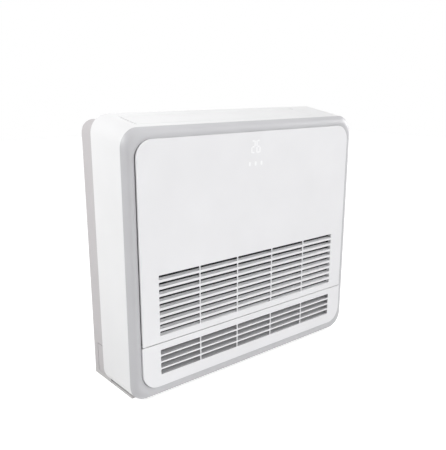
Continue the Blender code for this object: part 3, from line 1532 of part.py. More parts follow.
def build_board():
    """The circuit board with a transformer, two relays, a heat sink, a row of sockets and a can."""
    left, right, bottom, top = board_edges()
    front = BACK_Y - WALL - SEAT - BOX_WALL - BOARD_OUT
    root = front + BOARD_THICK / 2
    card = place("circuit_board", box(left, right, front, front + BOARD_THICK, bottom, top), "board")
    blocks = [
        box(left + a, left + a + wide, front - deep, root, bottom + b, bottom + b + tall)
        for a, b, wide, deep, tall in BOARD_BLOCKS
    ]
    add(card, merged(*blocks))
    add(card, rod("Y", left + CAN_X, bottom + CAN_Z, front - CAN_LONG, root, CAN_RADIUS))


def build_terminals():
    """The block of terminals for the supply, under the circuit board."""
    left = BOX_LEFT + TERMINAL_SIDE
    right = BOX_RIGHT - TERMINAL_SIDE
    bottom = BOX_BOTTOM + TERMINAL_RAISED
    top = bottom + TERMINAL_TALL
    rear = BACK_Y - WALL - SEAT - BOX_WALL - SEAT
    front = rear - TERMINAL_DEEP
    terminals = place("terminal_block", box(left, right, front, rear, bottom, top), "dark_plastic")
    pitch = (right - left) / TERMINALS
    pockets = [
        box(
            left + k * pitch + POCKET_RIB,
            left + (k + 1) * pitch - POCKET_RIB,
            front - WALL,
            rear - POCKET_FLOOR,
            bottom + POCKET_EDGE,
            top - POCKET_EDGE,
        )
        for k in range(TERMINALS)
    ]
    cut(terminals, merged(*pockets))


def build_display(hinge):
    """The display module, fixed behind the thin wall of the opening panel."""
    front = FRONT_Y + PANEL_WALL + SEAT
    rear = RECESS_Y - DISPLAY_CLEAR
    case = box(-DISPLAY_HALF, DISPLAY_HALF, front, rear, DISPLAY_BOTTOM, DISPLAY_TOP)
    module = place("display_module", case, "dark_plastic", hinge)
    hollow = box(
        -DISPLAY_HALF + SHEET,
        DISPLAY_HALF - SHEET,
        front + SHEET,
        RECESS_Y,
        DISPLAY_BOTTOM + SHEET,
        DISPLAY_TOP - SHEET,
    )
    cut(module, hollow)


def build_button():
    """The emergency button behind the opening panel, with its switch behind the fascia."""
    slide = joint_empty("button_slide", (BUTTON_X, FASCIA_FRONT, BUTTON_Z))
    flange_front = FASCIA_REAR + SEAT
    flange_rear = flange_front + SHEET
    proud = FASCIA_FRONT - BUTTON_PROUD
    cap = rod("Y", BUTTON_X, BUTTON_Z, proud, flange_front + SHEET / 2, BUTTON_RADIUS, 24)
    button = place("emergency_button", cap, "grey_ring", slide)
    add(button, rod("Y", BUTTON_X, BUTTON_Z, flange_front, flange_rear, BUTTON_RADIUS + SHEET, 24))
    loops = [
        rounded_outline(
            BUTTON_X - SWITCH_HALF,
            BUTTON_X + SWITCH_HALF,
            BUTTON_Z - SWITCH_HALF,
            BUTTON_Z + SWITCH_HALF,
            SWITCH_ROUND,
            SWITCH_ROUND,
            2,
        ),
        circle(BUTTON_X, BUTTON_Z, BUTTON_RADIUS + SHEET + SEAT),
    ]
    floor = flange_rear + BUTTON_TRAVEL
    switch = place("button_switch", plate("Y", loops, flange_front, floor + SHEET), "dark_plastic")
    half = SWITCH_HALF - SWITCH_INSET
    back = box(
        BUTTON_X - half,
        BUTTON_X + half,
        floor + SEAT,
        floor + 2 * SHEET,
        BUTTON_Z - half,
        BUTTON_Z + half,
    )
    add(switch, back)


def main():
    fan_axle = joint_empty("fan_axle", (FAN_X, WHEEL_FRONT, FAN_Z))
    panel_hinge = joint_empty("panel_hinge", (0.0, PANEL_AXIS_Y, PANEL_AXIS_Z))
    flap_hinge = joint_empty("flap_hinge", (0.0, FLAP_AXIS_Y, FLAP_AXIS_Z))
    damper_hinge = joint_empty("damper_hinge", (0.0, DAMPER_Y, DAMPER_Z))
    build_base_plate()
    build_rear_casing()
    build_pipe_covers()
    build_front_casing()
    build_bezel_ring()
    build_lower_grille()
    build_fascia()
    build_panel_catches()
    build_front_panel(panel_hinge)
    build_display(panel_hinge)
    build_filters()
    build_button()
    build_coil()
    build_drain_pan()
    build_pipes()
    build_bell_mouth()
    build_fan(fan_axle)
    build_fan_chamber()
    build_motor()
    build_lower_duct()
    build_damper(damper_hinge)
    build_top_outlet()
    build_flap(flap_hinge)
    build_vanes()
    build_outlet_motors()
    build_control_box()
    build_board()
    build_terminals()


main()
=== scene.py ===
# %% [markdown]
# # A floor console air conditioner
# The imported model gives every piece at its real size, in metres, with +Z up and the front facing -Y.
# This lesson keeps it as a fixed frame, models the pieces that show with finer edges, and gives
# every piece a finish. Nothing here moves a piece of the frame.

import math

import bmesh
import bpy
from mathutils import Matrix, Vector


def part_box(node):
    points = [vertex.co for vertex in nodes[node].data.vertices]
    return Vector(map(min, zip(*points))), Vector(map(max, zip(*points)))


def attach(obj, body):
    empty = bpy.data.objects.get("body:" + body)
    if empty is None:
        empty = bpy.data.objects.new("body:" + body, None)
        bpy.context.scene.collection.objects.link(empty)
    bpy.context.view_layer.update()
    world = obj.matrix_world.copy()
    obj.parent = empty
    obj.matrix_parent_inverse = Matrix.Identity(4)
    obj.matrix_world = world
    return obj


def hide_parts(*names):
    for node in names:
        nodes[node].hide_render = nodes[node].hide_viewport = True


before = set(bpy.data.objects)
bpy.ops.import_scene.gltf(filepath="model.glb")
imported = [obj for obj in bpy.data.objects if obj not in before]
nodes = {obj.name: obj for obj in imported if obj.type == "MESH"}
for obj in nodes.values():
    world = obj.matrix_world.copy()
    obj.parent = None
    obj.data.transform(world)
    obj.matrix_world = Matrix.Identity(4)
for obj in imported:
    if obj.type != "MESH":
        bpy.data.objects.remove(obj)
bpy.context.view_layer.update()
print("pieces in the frame:", len(nodes))

# %% [markdown]
# ## The camera
# The unit is seen from its front left, a little from above. The lens and the small shift come from
# the edges of the real unit: its uprights converge slightly, as they do when a camera looks down.

# %% Place the camera
CAMERA_PLACE = (-0.9307, -1.1018, 0.6914)
CAMERA_PITCH = 74.8
CAMERA_TURN = -39.5
CAMERA_LENS = 46.76
CAMERA_SHIFT = (0.0067, 0.0353)

bpy.ops.object.camera_add(location=CAMERA_PLACE)
camera = bpy.context.object
camera.name = "camera"
camera.rotation_euler = (math.radians(CAMERA_PITCH), 0.0, math.radians(CAMERA_TURN))
camera.data.lens = CAMERA_LENS
camera.data.shift_x, camera.data.shift_y = CAMERA_SHIFT
bpy.context.scene.camera = camera
bpy.context.scene.view_settings.view_transform = "Standard"
print("camera at", tuple(round(value, 3) for value in camera.location))

# %% [markdown]
# ## The sizes that the pieces share
# The new pieces fill the same space as the frame's own, so they are measured from it. A wall of
# moulded plastic is 2.5 mm thick, and pieces that touch keep 0.3 mm between them. The panels' front
# lies a tenth of a millimetre back, which leaves room for the lit figures in their surface.

# %% Shared sizes
WALL = 0.0025
SEAT = 0.0003
TOP_SLOPE = 0.18
SKIN = 0.0001
CORNER_STEPS = 16

case_low, case_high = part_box("front_casing")
ring_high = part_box("bezel_ring")[1]
panel_low, panel_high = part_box("front_panel")
grille_low, grille_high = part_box("lower_grille")
rear_low, rear_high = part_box("rear_casing")
FACE_TOP = ring_high.z
FACE_BOTTOM = case_low.z
HALF_WAY_UP = (FACE_BOTTOM + FACE_TOP) / 2
CASE_FRONT = case_low.y - SEAT
CASE_REAR = case_high.y
CAD_FRONT = panel_low.y
FRONT_Y = CAD_FRONT + SKIN
print("casing", [round(value, 4) for value in case_high - case_low])


def top_height(y):
    """Height of the sloping top at a depth."""
    return FACE_TOP + TOP_SLOPE * (y - CASE_FRONT)


# %% [markdown]
# ## Working as by hand
# An operator works on whatever is selected, and everything is selected after the load. So each
# step first selects one object alone, and then picks its faces or edges by their place or direction.
# A place counts when it is within a millimetre, and a direction when it is nearly straight.

# %% Selecting and picking
CLOSE = 0.001
MOSTLY = 0.9


def only(piece):
    """Select one object alone and make it the active one."""
    bpy.ops.object.select_all(action="DESELECT")
    piece.select_set(True)
    bpy.context.view_layer.objects.active = piece


def pick(piece, kind, test):
    """Enter edit mode with just those vertices, edges or faces selected that pass the test."""
    only(piece)
    bpy.ops.object.mode_set(mode="EDIT")
    bpy.ops.mesh.select_mode(type=kind)
    bpy.ops.mesh.select_all(action="DESELECT")
    shape = bmesh.from_edit_mesh(piece.data)
    items = {"VERT": shape.verts, "EDGE": shape.edges, "FACE": shape.faces}[kind]
    chosen = [item for item in items if test(item)]
    for item in chosen:
        item.select_set(True)
    bmesh.update_edit_mesh(piece.data)
    return len(chosen)


def leave():
    """Back to object mode."""
    bpy.ops.object.mode_set(mode="OBJECT")


def middle_of(item):
    """The middle of an edge or a face."""
    return sum((vert.co for vert in item.verts), Vector()) / len(item.verts)


def runs_along(edge, axis):
    """True where an edge runs along X, Y or Z (0, 1 or 2), give or take a slope."""
    step = edge.verts[1].co - edge.verts[0].co
    return step.length > 0 and abs(step[axis]) > MOSTLY * step.length


# %% [markdown]
# ## Starting shapes
# A block and a rod are the two starts. The block's size and place are applied at once, so that
# every object stays at the origin and a pattern on it doesn't slide.

# %% Block and rod
def settle():
    """Apply the selected object's place, turn and size to its mesh."""
    bpy.ops.object.transform_apply(location=True, rotation=True, scale=True)


def block(name, low, high):
    """A block between two corners."""
    low, high = Vector(low), Vector(high)
    bpy.ops.object.select_all(action="DESELECT")
    bpy.ops.mesh.primitive_cube_add(size=1.0, location=(low + high) / 2, scale=high - low)
    settle()
    piece = bpy.context.object
    piece.name = name
    return piece


def rod(name, start, end, radius, sides=32):
    """A round bar from one point to another."""
    start, end = Vector(start), Vector(end)
    way = end - start
    turn = Vector((0.0, 0.0, 1.0)).rotation_difference(way).to_euler()
    bpy.ops.object.select_all(action="DESELECT")
    bpy.ops.mesh.primitive_cylinder_add(
        vertices=sides, radius=radius, depth=way.length, location=(start + end) / 2, rotation=turn
    )
    settle()
    piece = bpy.context.object
    piece.name = name
    return piece


# %% [markdown]
# ## Changing a shape
# Moulded plastic has round corners. A corner is one bevel of the edge that runs front to back. A
# hole or a rib is a second shape, taken away or added. It could be modelled face by face, but a
# second shape keeps its size and place in plain sight, and is easy to move.

# %% Corners, holes and ribs
def round_corners(piece, axis, radius, test, steps=CORNER_STEPS):
    """Bevel the edges that run along one axis and pass the test."""
    count = pick(piece, "EDGE", lambda edge: runs_along(edge, axis) and test(middle_of(edge)))
    if count:
        bpy.ops.mesh.bevel(offset=radius, offset_type="OFFSET", segments=steps, affect="EDGES")
    leave()


def combine(piece, tool, operation):
    """Take a second shape away from a piece, or add it."""
    only(piece)
    change = piece.modifiers.new("shape", "BOOLEAN")
    change.operation = operation
    change.solver = "EXACT"
    change.object = tool
    bpy.ops.object.modifier_apply(modifier=change.name)
    bpy.data.objects.remove(tool, do_unlink=True)


def carve(piece, tool):
    """Cut the second shape out of a piece."""
    combine(piece, tool, "DIFFERENCE")


def weld(piece, tool):
    """Make the second shape part of a piece."""
    combine(piece, tool, "UNION")


# %% [markdown]
# ## Copies, soft edges and the exchange
# What repeats is copied and joined. The last step on a piece is a narrow bevel on every sharp edge,
# which catches the light as the real edges do, and weighted normals keep the flat faces beside it
# even. Then the new piece takes the place of the frame's own, on the same body.

# %% Copies, soft edges and the exchange
SMOOTH_BELOW = 60


def one_of(pieces):
    """Join several objects into the first one."""
    bpy.ops.object.select_all(action="DESELECT")
    for piece in pieces:
        piece.select_set(True)
    bpy.context.view_layer.objects.active = pieces[0]
    bpy.ops.object.join()
    return pieces[0]


def copy_of(piece, shift):
    """A copy of a piece with its own mesh, moved by a step and settled there."""
    only(piece)
    bpy.ops.object.duplicate(linked=False)
    bpy.ops.transform.translate(value=shift)
    settle()
    return bpy.context.object


def soften(piece, width, steps=2, sharp=38):
    """A narrow bevel on every sharp edge, with flat faces that stay evenly shaded."""
    only(piece)
    edge = piece.modifiers.new("soft_edge", "BEVEL")
    edge.width = width
    edge.segments = steps
    edge.limit_method = "ANGLE"
    edge.angle_limit = math.radians(sharp)
    edge.use_clamp_overlap = False
    edge.miter_outer = "MITER_ARC"
    bpy.ops.object.modifier_apply(modifier=edge.name)
    bpy.ops.object.shade_smooth_by_angle(angle=math.radians(SMOOTH_BELOW))
    even = piece.modifiers.new("even_shade", "WEIGHTED_NORMAL")
    even.keep_sharp = True
    bpy.ops.object.modifier_apply(modifier=even.name)


def instead_of(piece, node, body):
    """The new piece stands for a piece of the frame and moves with its body."""
    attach(piece, body)
    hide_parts(node)
    print(piece.name, "stands for", node, "with", len(piece.data.polygons), "faces")


# %% [markdown]
# ## Finishes
# One recipe serves all the plastics: a colour that wanders a little, a fine grain that a bump
# reads, and a roughness that varies with the same noise. Each takes its place from the object's
# own coordinates, so the grain has the same size on every piece.

# %% The recipe for a finish
def node_at(tree, kind, **settings):
    """A new node with its settings."""
    node = tree.nodes.new(kind)
    for name, value in settings.items():
        setattr(node, name, value)
    return node


def noise(tree, place, scale, detail=2.0):
    """A noise that reads a place in the object."""
    node = node_at(tree, "ShaderNodeTexNoise")
    node.inputs["Scale"].default_value = scale
    node.inputs["Detail"].default_value = detail
    tree.links.new(place, node.inputs["Vector"])
    return node.outputs["Fac"]


def ramp(tree, factor, low, high, start=0.3, end=0.7):
    """Blend from one colour to another as a factor grows."""
    node = node_at(tree, "ShaderNodeValToRGB")
    node.color_ramp.elements[0].position = start
    node.color_ramp.elements[0].color = (*low, 1.0)
    node.color_ramp.elements[1].position = end
    node.color_ramp.elements[1].color = (*high, 1.0)
    tree.links.new(factor, node.inputs["Fac"])
    return node.outputs["Color"]


def finish(name, colour, rough, wander=0.015, grain=900.0, depth=0.00002, metal=0.0, spread=0.06):
    """A material whose colour, roughness and grain vary a little over the surface."""
    material = bpy.data.materials.new(name)
    material.use_nodes = True
    tree = material.node_tree
    shader = tree.nodes["Principled BSDF"]
    place = node_at(tree, "ShaderNodeTexCoord").outputs["Object"]
    slow = noise(tree, place, 9.0)
    fine = noise(tree, place, grain, 3.0)
    dark = tuple(max(value * (1 - wander), 0.0) for value in colour)
    light = tuple(min(value * (1 + wander), 1.0) for value in colour)
    tree.links.new(ramp(tree, slow, dark, light), shader.inputs["Base Color"])
    low, high = (max(rough - spread, 0.02),) * 3, (min(rough + spread, 1.0),) * 3
    tree.links.new(ramp(tree, fine, low, high), shader.inputs["Roughness"])
    bump = node_at(tree, "ShaderNodeBump")
    bump.inputs["Strength"].default_value = 0.5
    bump.inputs["Distance"].default_value = depth
    tree.links.new(fine, bump.inputs["Height"])
    tree.links.new(bump.outputs["Normal"], shader.inputs["Normal"])
    shader.inputs["Metallic"].default_value = metal
    return material


def wear(piece, material):
    """Give a piece that finish alone."""
    piece.data.materials.clear()
    piece.data.materials.append(material)


# %% [markdown]
# The shell is a satin white, the opening panel a smoother white, the rear cover a warmer and
# darker white, and the ring a silver grey. The inner frame is dark, and the damper is painted
# nearly black as painted shade, so the slots look deep. The walls inside the lower slots carry
# painted shade in a middle grey. The ducts are a plain light grey, and the lit figures glow only a
# little, because they shine through the panel's white skin.

# %% Mix the finishes
GLOW = 0.05

shell_white = finish("shell_white", (0.86, 0.86, 0.865), 0.42)
panel_white = finish("panel_white", (0.824, 0.822, 0.837), 0.55, depth=0.00001)
ring_silver = finish("ring_silver", (0.547, 0.545, 0.562), 0.36, wander=0.02, grain=1600.0)
frame_grey = finish("frame_grey", (0.018, 0.018, 0.019), 0.60, wander=0.06)
duct_grey = finish("duct_grey", (0.46, 0.46, 0.475), 0.55, wander=0.03)
motor_black = finish("motor_black", (0.030, 0.030, 0.033), 0.50, wander=0.10)
zinc_sheet = finish("zinc_sheet", (0.50, 0.51, 0.53), 0.38, wander=0.08, grain=260.0, metal=0.85)
fin_metal = finish("fin_metal", (0.62, 0.64, 0.67), 0.30, wander=0.06, grain=500.0, metal=0.95)
pipe_copper = finish("pipe_copper", (0.72, 0.36, 0.20), 0.28, wander=0.10, grain=300.0, metal=1.0)
nut_brass = finish("nut_brass", (0.70, 0.52, 0.24), 0.26, wander=0.06, grain=400.0, metal=1.0)
bright_steel = finish("bright_steel", (0.56, 0.56, 0.58), 0.25, wander=0.05, grain=700.0, metal=1.0)
board_green = finish("board_green", (0.02, 0.16, 0.07), 0.45, wander=0.15, grain=600.0)
rear_white = finish("rear_white", (0.575, 0.552, 0.560), 0.48)
base_grey = finish("base_grey", (0.60, 0.588, 0.585), 0.50, wander=0.03)
net_black = finish("net_black", (0.010, 0.010, 0.011), 0.65, wander=0.08)
# The damper's near black is painted shade, so the slots in front of it look dark.
damper_painted_shade = finish("damper_painted_shade", (0.022, 0.022, 0.023), 0.50, wander=0.02)
fan_grey = finish("fan_grey", (0.20, 0.21, 0.22), 0.45, wander=0.04)
# The walls inside the lower slots get this middle grey as painted shade.
slot_painted_shade = finish("slot_painted_shade", (0.50, 0.495, 0.512), 0.55)
glow_white = finish("glow_white", (0.89, 0.89, 0.90), 0.45)
glow_shader = glow_white.node_tree.nodes["Principled BSDF"]
glow_shader.inputs["Emission Color"].default_value = (1.0, 1.0, 1.0, 1.0)
glow_shader.inputs["Emission Strength"].default_value = GLOW
print("finishes:", len(bpy.data.materials))

# %% [markdown]
# ## The front casing
# The real casing is one moulding: four sides with round corners, and a step at the back where it
# meets the narrower rear cover. A block with its rear edge lifted gives the sloping top. A second,
# smaller block hollows it, and two more cut the step and the opening for the flap.

# %% Model the front casing
CASE_RADIUS = 0.041
REAR_RADIUS = 0.030
HOLLOW_AHEAD = 0.010


def sloped_block(name, low, high, rise):
    """A block whose top is lifted towards the rear."""
    piece = block(name, low, high)
    pick(piece, "VERT", lambda vert: vert.co.z > high[2] - CLOSE and vert.co.y > high[1] - CLOSE)
    bpy.ops.transform.translate(value=(0.0, 0.0, rise))
    leave()
    return piece


def model_casing():
    """The shell: a sloped block, hollowed, with a step for the rear cover."""
    half = case_high.x
    rise = TOP_SLOPE * (CASE_REAR - CASE_FRONT - SEAT)
    start = CASE_FRONT + SEAT
    casing = sloped_block(
        "casing_shell", (-half, start, FACE_BOTTOM), (half, CASE_REAR, top_height(start)), rise
    )
    round_corners(casing, 1, CASE_RADIUS, lambda place: True)
    inner_front = start - HOLLOW_AHEAD
    inner_top = top_height(inner_front) - WALL
    hollow = sloped_block(
        "hollow",
        (-half + WALL, inner_front, FACE_BOTTOM + WALL),
        (half - WALL, CASE_REAR - WALL, inner_top),
        TOP_SLOPE * (CASE_REAR - WALL - inner_front),
    )
    round_corners(hollow, 1, CASE_RADIUS - WALL, lambda place: True)
    carve(casing, hollow)
    step = block(
        "step",
        (rear_low.x - SEAT, CASE_REAR - 2 * WALL, rear_low.z - SEAT),
        (rear_high.x + SEAT, CASE_REAR + WALL, rear_high.z + SEAT),
    )
    round_corners(step, 1, REAR_RADIUS + SEAT, lambda place: place.z > HALF_WAY_UP)
    carve(casing, step)
    return casing


casing = model_casing()

# %% [markdown]
# The opening's rear edge turns down behind the flap's curl, and the top just behind it slopes down
# a little to meet the flap. So no dark gap shows there, just as on the real unit. The gap at the
# left end is wider, because its seam is strong. A small notch in the right edge, where a finger or
# a tool can lift the flap, is cut last. All get the same soft edge.

# %% Cut the flap's opening
FLAP_GAP = 0.0010
FLAP_GAP_LEFT = 0.0032
FLAP_GAP_REAR = 0.0004
SLANT_LONG = 0.016
SLANT_DROP = 0.0017
SLANT_OVERLAP = 0.0005
SLANT_TALL = 0.02
LIP_SIDE = 0.012
LIP_AHEAD = 0.002
LIP_FOOT = FACE_TOP + 0.0055
NOTCH_WIDE = 0.0036
NOTCH_FRONT = -0.0590
NOTCH_REAR = -0.0545
FLAP_LEFT = -0.295
FLAP_RIGHT = 0.230
FLAP_FRONT = -0.0645
FLAP_REAR = 0.0064
ABOVE_ALL = FACE_TOP + 0.1


def cut_flap_opening(casing):
    """The rear lip, the opening, the slope behind it and the notch."""
    low_z = FACE_TOP - 3 * WALL
    lip_front = FLAP_REAR - LIP_AHEAD
    lip_rear = FLAP_REAR + FLAP_GAP_REAR + WALL
    lip = sloped_block(
        "lip",
        (FLAP_LEFT - LIP_SIDE, lip_front, LIP_FOOT),
        (FLAP_RIGHT + LIP_SIDE, lip_rear, top_height(lip_front) - WALL / 2),
        TOP_SLOPE * (lip_rear - lip_front),
    )
    weld(casing, lip)
    opening = block(
        "opening",
        (FLAP_LEFT - FLAP_GAP_LEFT, FLAP_FRONT - FLAP_GAP, low_z),
        (FLAP_RIGHT + FLAP_GAP, FLAP_REAR + FLAP_GAP_REAR, ABOVE_ALL),
    )
    carve(casing, opening)
    start = FLAP_REAR + FLAP_GAP_REAR
    slant_z = top_height(start) - SLANT_DROP
    slant = block(
        "slant",
        (FLAP_LEFT - FLAP_GAP_LEFT, start - SLANT_OVERLAP, slant_z),
        (FLAP_RIGHT + FLAP_GAP, start + SLANT_LONG, slant_z + SLANT_TALL),
    )
    pick(slant, "VERT", lambda vert: vert.co.z < slant_z + CLOSE and vert.co.y > start)
    bpy.ops.transform.translate(value=(0.0, 0.0, TOP_SLOPE * SLANT_LONG + SLANT_DROP))
    leave()
    carve(casing, slant)
    notch = block(
        "notch", (FLAP_RIGHT, NOTCH_FRONT, low_z), (FLAP_RIGHT + NOTCH_WIDE, NOTCH_REAR, ABOVE_ALL)
    )
    carve(casing, notch)


cut_flap_opening(casing)
soften(casing, 0.0009, 3)
wear(casing, shell_white)
instead_of(casing, "front_casing", "root")

# %% [markdown]
# ## The grey ring
# The ring swells forwards from the casing, steeply at first. It is fullest at three quarters of its
# width, sags a little from there, and turns back into the recess that holds the panel. It could be
# a curve swept round the front, but its sides and its bottom differ in width. So two formulas say
# how far forwards and how wide it is at each share of the way inwards.

# %% Describe the ring
RING_SIDE = 0.0235
RING_RISE_BELOW = 0.0275
RING_DROP_ABOVE = 0.0250
RING_CREST = 0.76
RING_SAG = 0.09


def ring_swell(share):
    """How far the ring has swelled forwards, as a part of its reach, at a share of the way inwards."""
    if share < RING_CREST:
        return 1 - (1 - share / RING_CREST) ** 3
    return 1 - RING_SAG * ((share - RING_CREST) / (1 - RING_CREST)) ** 2


def ring_frame(share):
    """Half width, bottom and top of the ring at a share of the way inwards."""
    return (
        ring_high.x - share * RING_SIDE,
        FACE_BOTTOM + share * RING_RISE_BELOW,
        FACE_TOP - share * RING_DROP_ABOVE,
    )


print("opening in the ring", [round(value, 4) for value in ring_frame(1.0)])

# %% [markdown]
# The ring starts as one rounded outline. It is extruded again and again, a little smaller and a
# little further forwards each time, in small steps at first, where the ring is steepest. A Solidify
# modifier then gives it a wall.

# %% Grow the ring
RING_STEPS = 16
RING_REACH = 0.0150
RING_FRONT_SHARE = 0.975
RING_SPACING = 1.4
RING_INNER_TURN = ((0.992, 0.0003), (1.0, 0.0008))
RECESS_TURN = ((1.0, -0.0010), (1.02, -0.0001), (1.06, 0.0))
RING_FLANGE = 0.0135
RING_WALL = 0.0016


def outline(name, low, high, y, radius):
    """A closed rounded outline that stands upright, with no face."""
    middle = ((low[0] + high[0]) / 2, y, (low[1] + high[1]) / 2)
    size = (high[0] - low[0], high[1] - low[1], 1.0)
    bpy.ops.object.select_all(action="DESELECT")
    bpy.ops.mesh.primitive_plane_add(size=1.0, location=middle, rotation=(math.pi / 2, 0.0, 0.0))
    piece = bpy.context.object
    piece.scale = size
    settle()
    piece.name = name
    pick(piece, "VERT", lambda vert: True)
    bpy.ops.mesh.bevel(offset=radius, segments=CORNER_STEPS, affect="VERTICES")
    bpy.ops.mesh.select_all(action="SELECT")
    bpy.ops.mesh.delete(type="ONLY_FACE")
    leave()
    return piece


def grow_edge(before, after, y_step):
    """Extrude the selected outline from one size and height to the next."""
    bpy.ops.mesh.extrude_edges_move(TRANSFORM_OT_translate={"value": (0.0, y_step, 0.0)})
    middle_before = (before[1] + before[2]) / 2
    middle_after = (after[1] + after[2]) / 2
    bpy.ops.transform.resize(
        value=(after[0] / before[0], 1.0, (after[2] - after[1]) / (before[2] - before[1])),
        center_override=(0.0, 0.0, middle_before),
    )
    bpy.ops.transform.translate(value=(0.0, 0.0, middle_after - middle_before))


def model_ring():
    """The ring, grown from its outer edge over the crest to the flange under the panel."""
    half, bottom, top = ring_frame(0.0)
    ring = outline("ring_trim", (-half, bottom), (half, top), CASE_FRONT, CASE_RADIUS)
    recess_y = ring_high.y - WALL
    stations = [(0.0, CASE_FRONT)]
    for step in range(1, RING_STEPS + 1):
        share = RING_FRONT_SHARE * (step / RING_STEPS) ** RING_SPACING
        stations.append((share, CASE_FRONT - RING_REACH * ring_swell(share)))
    inner_edge = stations[-1][1]
    stations += [(share, inner_edge + back) for share, back in RING_INNER_TURN]
    stations += [(share, recess_y + back) for share, back in RECESS_TURN]
    stations.append((1.0 + RING_FLANGE / RING_SIDE, recess_y))
    pick(ring, "EDGE", lambda edge: True)
    for (share, y), (next_share, next_y) in zip(stations, stations[1:]):
        grow_edge(ring_frame(share), ring_frame(next_share), next_y - y)
    bpy.ops.mesh.select_all(action="SELECT")
    bpy.ops.mesh.normals_make_consistent(inside=False)
    leave()
    if ring.data.polygons[0].normal.y > 0:
        pick(ring, "FACE", lambda face: True)
        bpy.ops.mesh.flip_normals()
        leave()
    only(ring)
    wall = ring.modifiers.new("wall", "SOLIDIFY")
    wall.thickness = RING_WALL
    wall.offset = -1.0
    bpy.ops.object.modifier_apply(modifier=wall.name)
    bpy.ops.object.shade_smooth_by_angle(angle=math.radians(50))
    return ring


ring = model_ring()
wear(ring, ring_silver)
instead_of(ring, "bezel_ring", "root")

# %% [markdown]
# ## Slots
# Both grilles have rows of five slots, and every slot rises towards the rear, so the bars between
# them are thin sloping blades. The upright ribs are only as deep as the panel's skin: behind them
# each row is one long slot. One of each is shaped and copied into place as a cutter.

# %% Shape one slot and copy it
GRILLE_HALF = 0.280
COLUMNS = 5
RIB = 0.0032
RIB_DEEP = 0.0018
SLOT_ROUND = 0.0016
SLOT_OVERLAP = 0.001
CUT_REACH = 0.004
SLOT_WIDE = (2 * GRILLE_HALF - (COLUMNS - 1) * RIB) / COLUMNS


def sloping_slot(name, left, right, front, rear, top, tall, rise_degrees):
    """One cutter that rises towards the rear, with its place set at the panel's front."""
    cutter = block(name, (left, front, top - tall), (right, rear, top))
    slope = math.tan(math.radians(rise_degrees))
    for y in (front, rear):
        pick(cutter, "VERT", lambda vert: abs(vert.co.y - y) < CLOSE)
        bpy.ops.transform.translate(value=(0.0, 0.0, slope * (y - FRONT_Y)))
        leave()
    return cutter


def cut_slots(panel, rows, pitch, top, tall, rise_degrees, depth):
    """Cut all the slots of a grille, first behind the ribs and then between them."""
    rear = FRONT_Y + depth + CUT_REACH
    left = -GRILLE_HALF + 2 * SKIN
    rib_rear = FRONT_Y + RIB_DEEP
    long_slot = sloping_slot(
        "long_slot", left, -left, rib_rear, rear, top - SKIN, tall - 2 * SKIN, rise_degrees
    )
    made = [long_slot]
    for row in range(1, rows):
        made.append(copy_of(long_slot, (0.0, 0.0, -row * pitch)))
    carve(panel, one_of(made))
    right = -GRILLE_HALF + SLOT_WIDE
    front = FRONT_Y - CUT_REACH
    first = sloping_slot(
        "slot", -GRILLE_HALF, right, front, rib_rear + SLOT_OVERLAP, top, tall, rise_degrees
    )
    round_corners(first, 1, SLOT_ROUND, lambda place: True, 4)
    made = [first]
    for row in range(rows):
        for column in range(COLUMNS):
            if row or column:
                made.append(copy_of(first, (column * (SLOT_WIDE + RIB), 0.0, -row * pitch)))
    carve(panel, one_of(made))


# %% [markdown]
# ## The opening panel
# The panel is a thin sheet with a rim behind its sides and top. Its lower edge curls back round
# the hinge, which the real one does so that no gap opens as it swings. The sheet is a block, the
# rim is a band of its back pulled out, and the curl is its bottom face spun about the hinge. The
# band comes from an inset, which follows the round corners by itself.

# %% Model the panel's sheet
PANEL_WALL = 0.003
PANEL_RIM = 0.005
ROLL = 0.008
ROLL_DEGREES = 95
HINGE_Y = CAD_FRONT + ROLL
HINGE_Z = 0.1465
SEAM_TOP = 0.1380
PANEL_RADIUS = 0.038


def model_panel():
    """The panel's sheet, its rim and its curl."""
    half = panel_high.x
    panel = block("panel_door", (-half, FRONT_Y, HINGE_Z), (half, FRONT_Y + PANEL_WALL, panel_high.z))
    round_corners(panel, 1, PANEL_RADIUS, lambda place: place.z > HALF_WAY_UP)
    pick(panel, "FACE", lambda face: face.normal.y > MOSTLY)
    bpy.ops.mesh.inset(thickness=WALL)
    leave()
    above = HINGE_Z + 0.01
    pick(
        panel,
        "FACE",
        lambda face: face.normal.y > MOSTLY and len(face.verts) == 4 and middle_of(face).z > above,
    )
    rim_step = (0.0, PANEL_RIM - PANEL_WALL, 0.0)
    bpy.ops.mesh.extrude_region_move(TRANSFORM_OT_translate={"value": rim_step})
    leave()
    pick(panel, "FACE", lambda face: face.normal.z < -MOSTLY and middle_of(face).z < HINGE_Z + CLOSE)
    bpy.ops.mesh.spin(
        steps=14,
        angle=math.radians(-ROLL_DEGREES),
        center=(0.0, HINGE_Y, HINGE_Z),
        axis=(1.0, 0.0, 0.0),
    )
    leave()
    return panel


panel = model_panel()
print("panel sheet", [round(value, 4) for value in panel.dimensions])

# %% [markdown]
# Behind the sheet sit a thicker block for the slots, the two pairs of cheeks that turn on the
# inner frame's ears, the two pins, and the pegs of the catches near the top. Last comes a skirt:
# in front of the curl the sheet goes straight down, so that the seam below it is one crisp line.

# %% Add the grille block, the hinges and the pegs, and cut the slots
UPPER_TOP = 0.2930
UPPER_PITCH = 0.0161
UPPER_ROWS = 9
UPPER_TALL = 0.0105
UPPER_RISE = 15
UPPER_DEPTH = 0.010
UPPER_EDGE = 0.005
UPPER_FOOT = 0.001
EAR_X = 0.200
EAR_HALF = 0.005
CHEEK_WALL = 0.003
CHEEK_RADIUS = 0.0078
PIN_RADIUS = 0.002
PIN_HALF = 0.0065
CATCH_X = 0.250
CATCH_Z = 0.560
PEG_RADIUS = 0.003
PEG_REAR = -0.0915


def add_slot_block(panel, top, foot, edge, depth):
    """Weld a deeper block behind the sheet, as wide as the slots and a little more."""
    slot_block = block(
        "slot_block",
        (-GRILLE_HALF - edge, FRONT_Y + PANEL_WALL / 2, foot),
        (GRILLE_HALF + edge, FRONT_Y + depth, top),
    )
    weld(panel, slot_block)


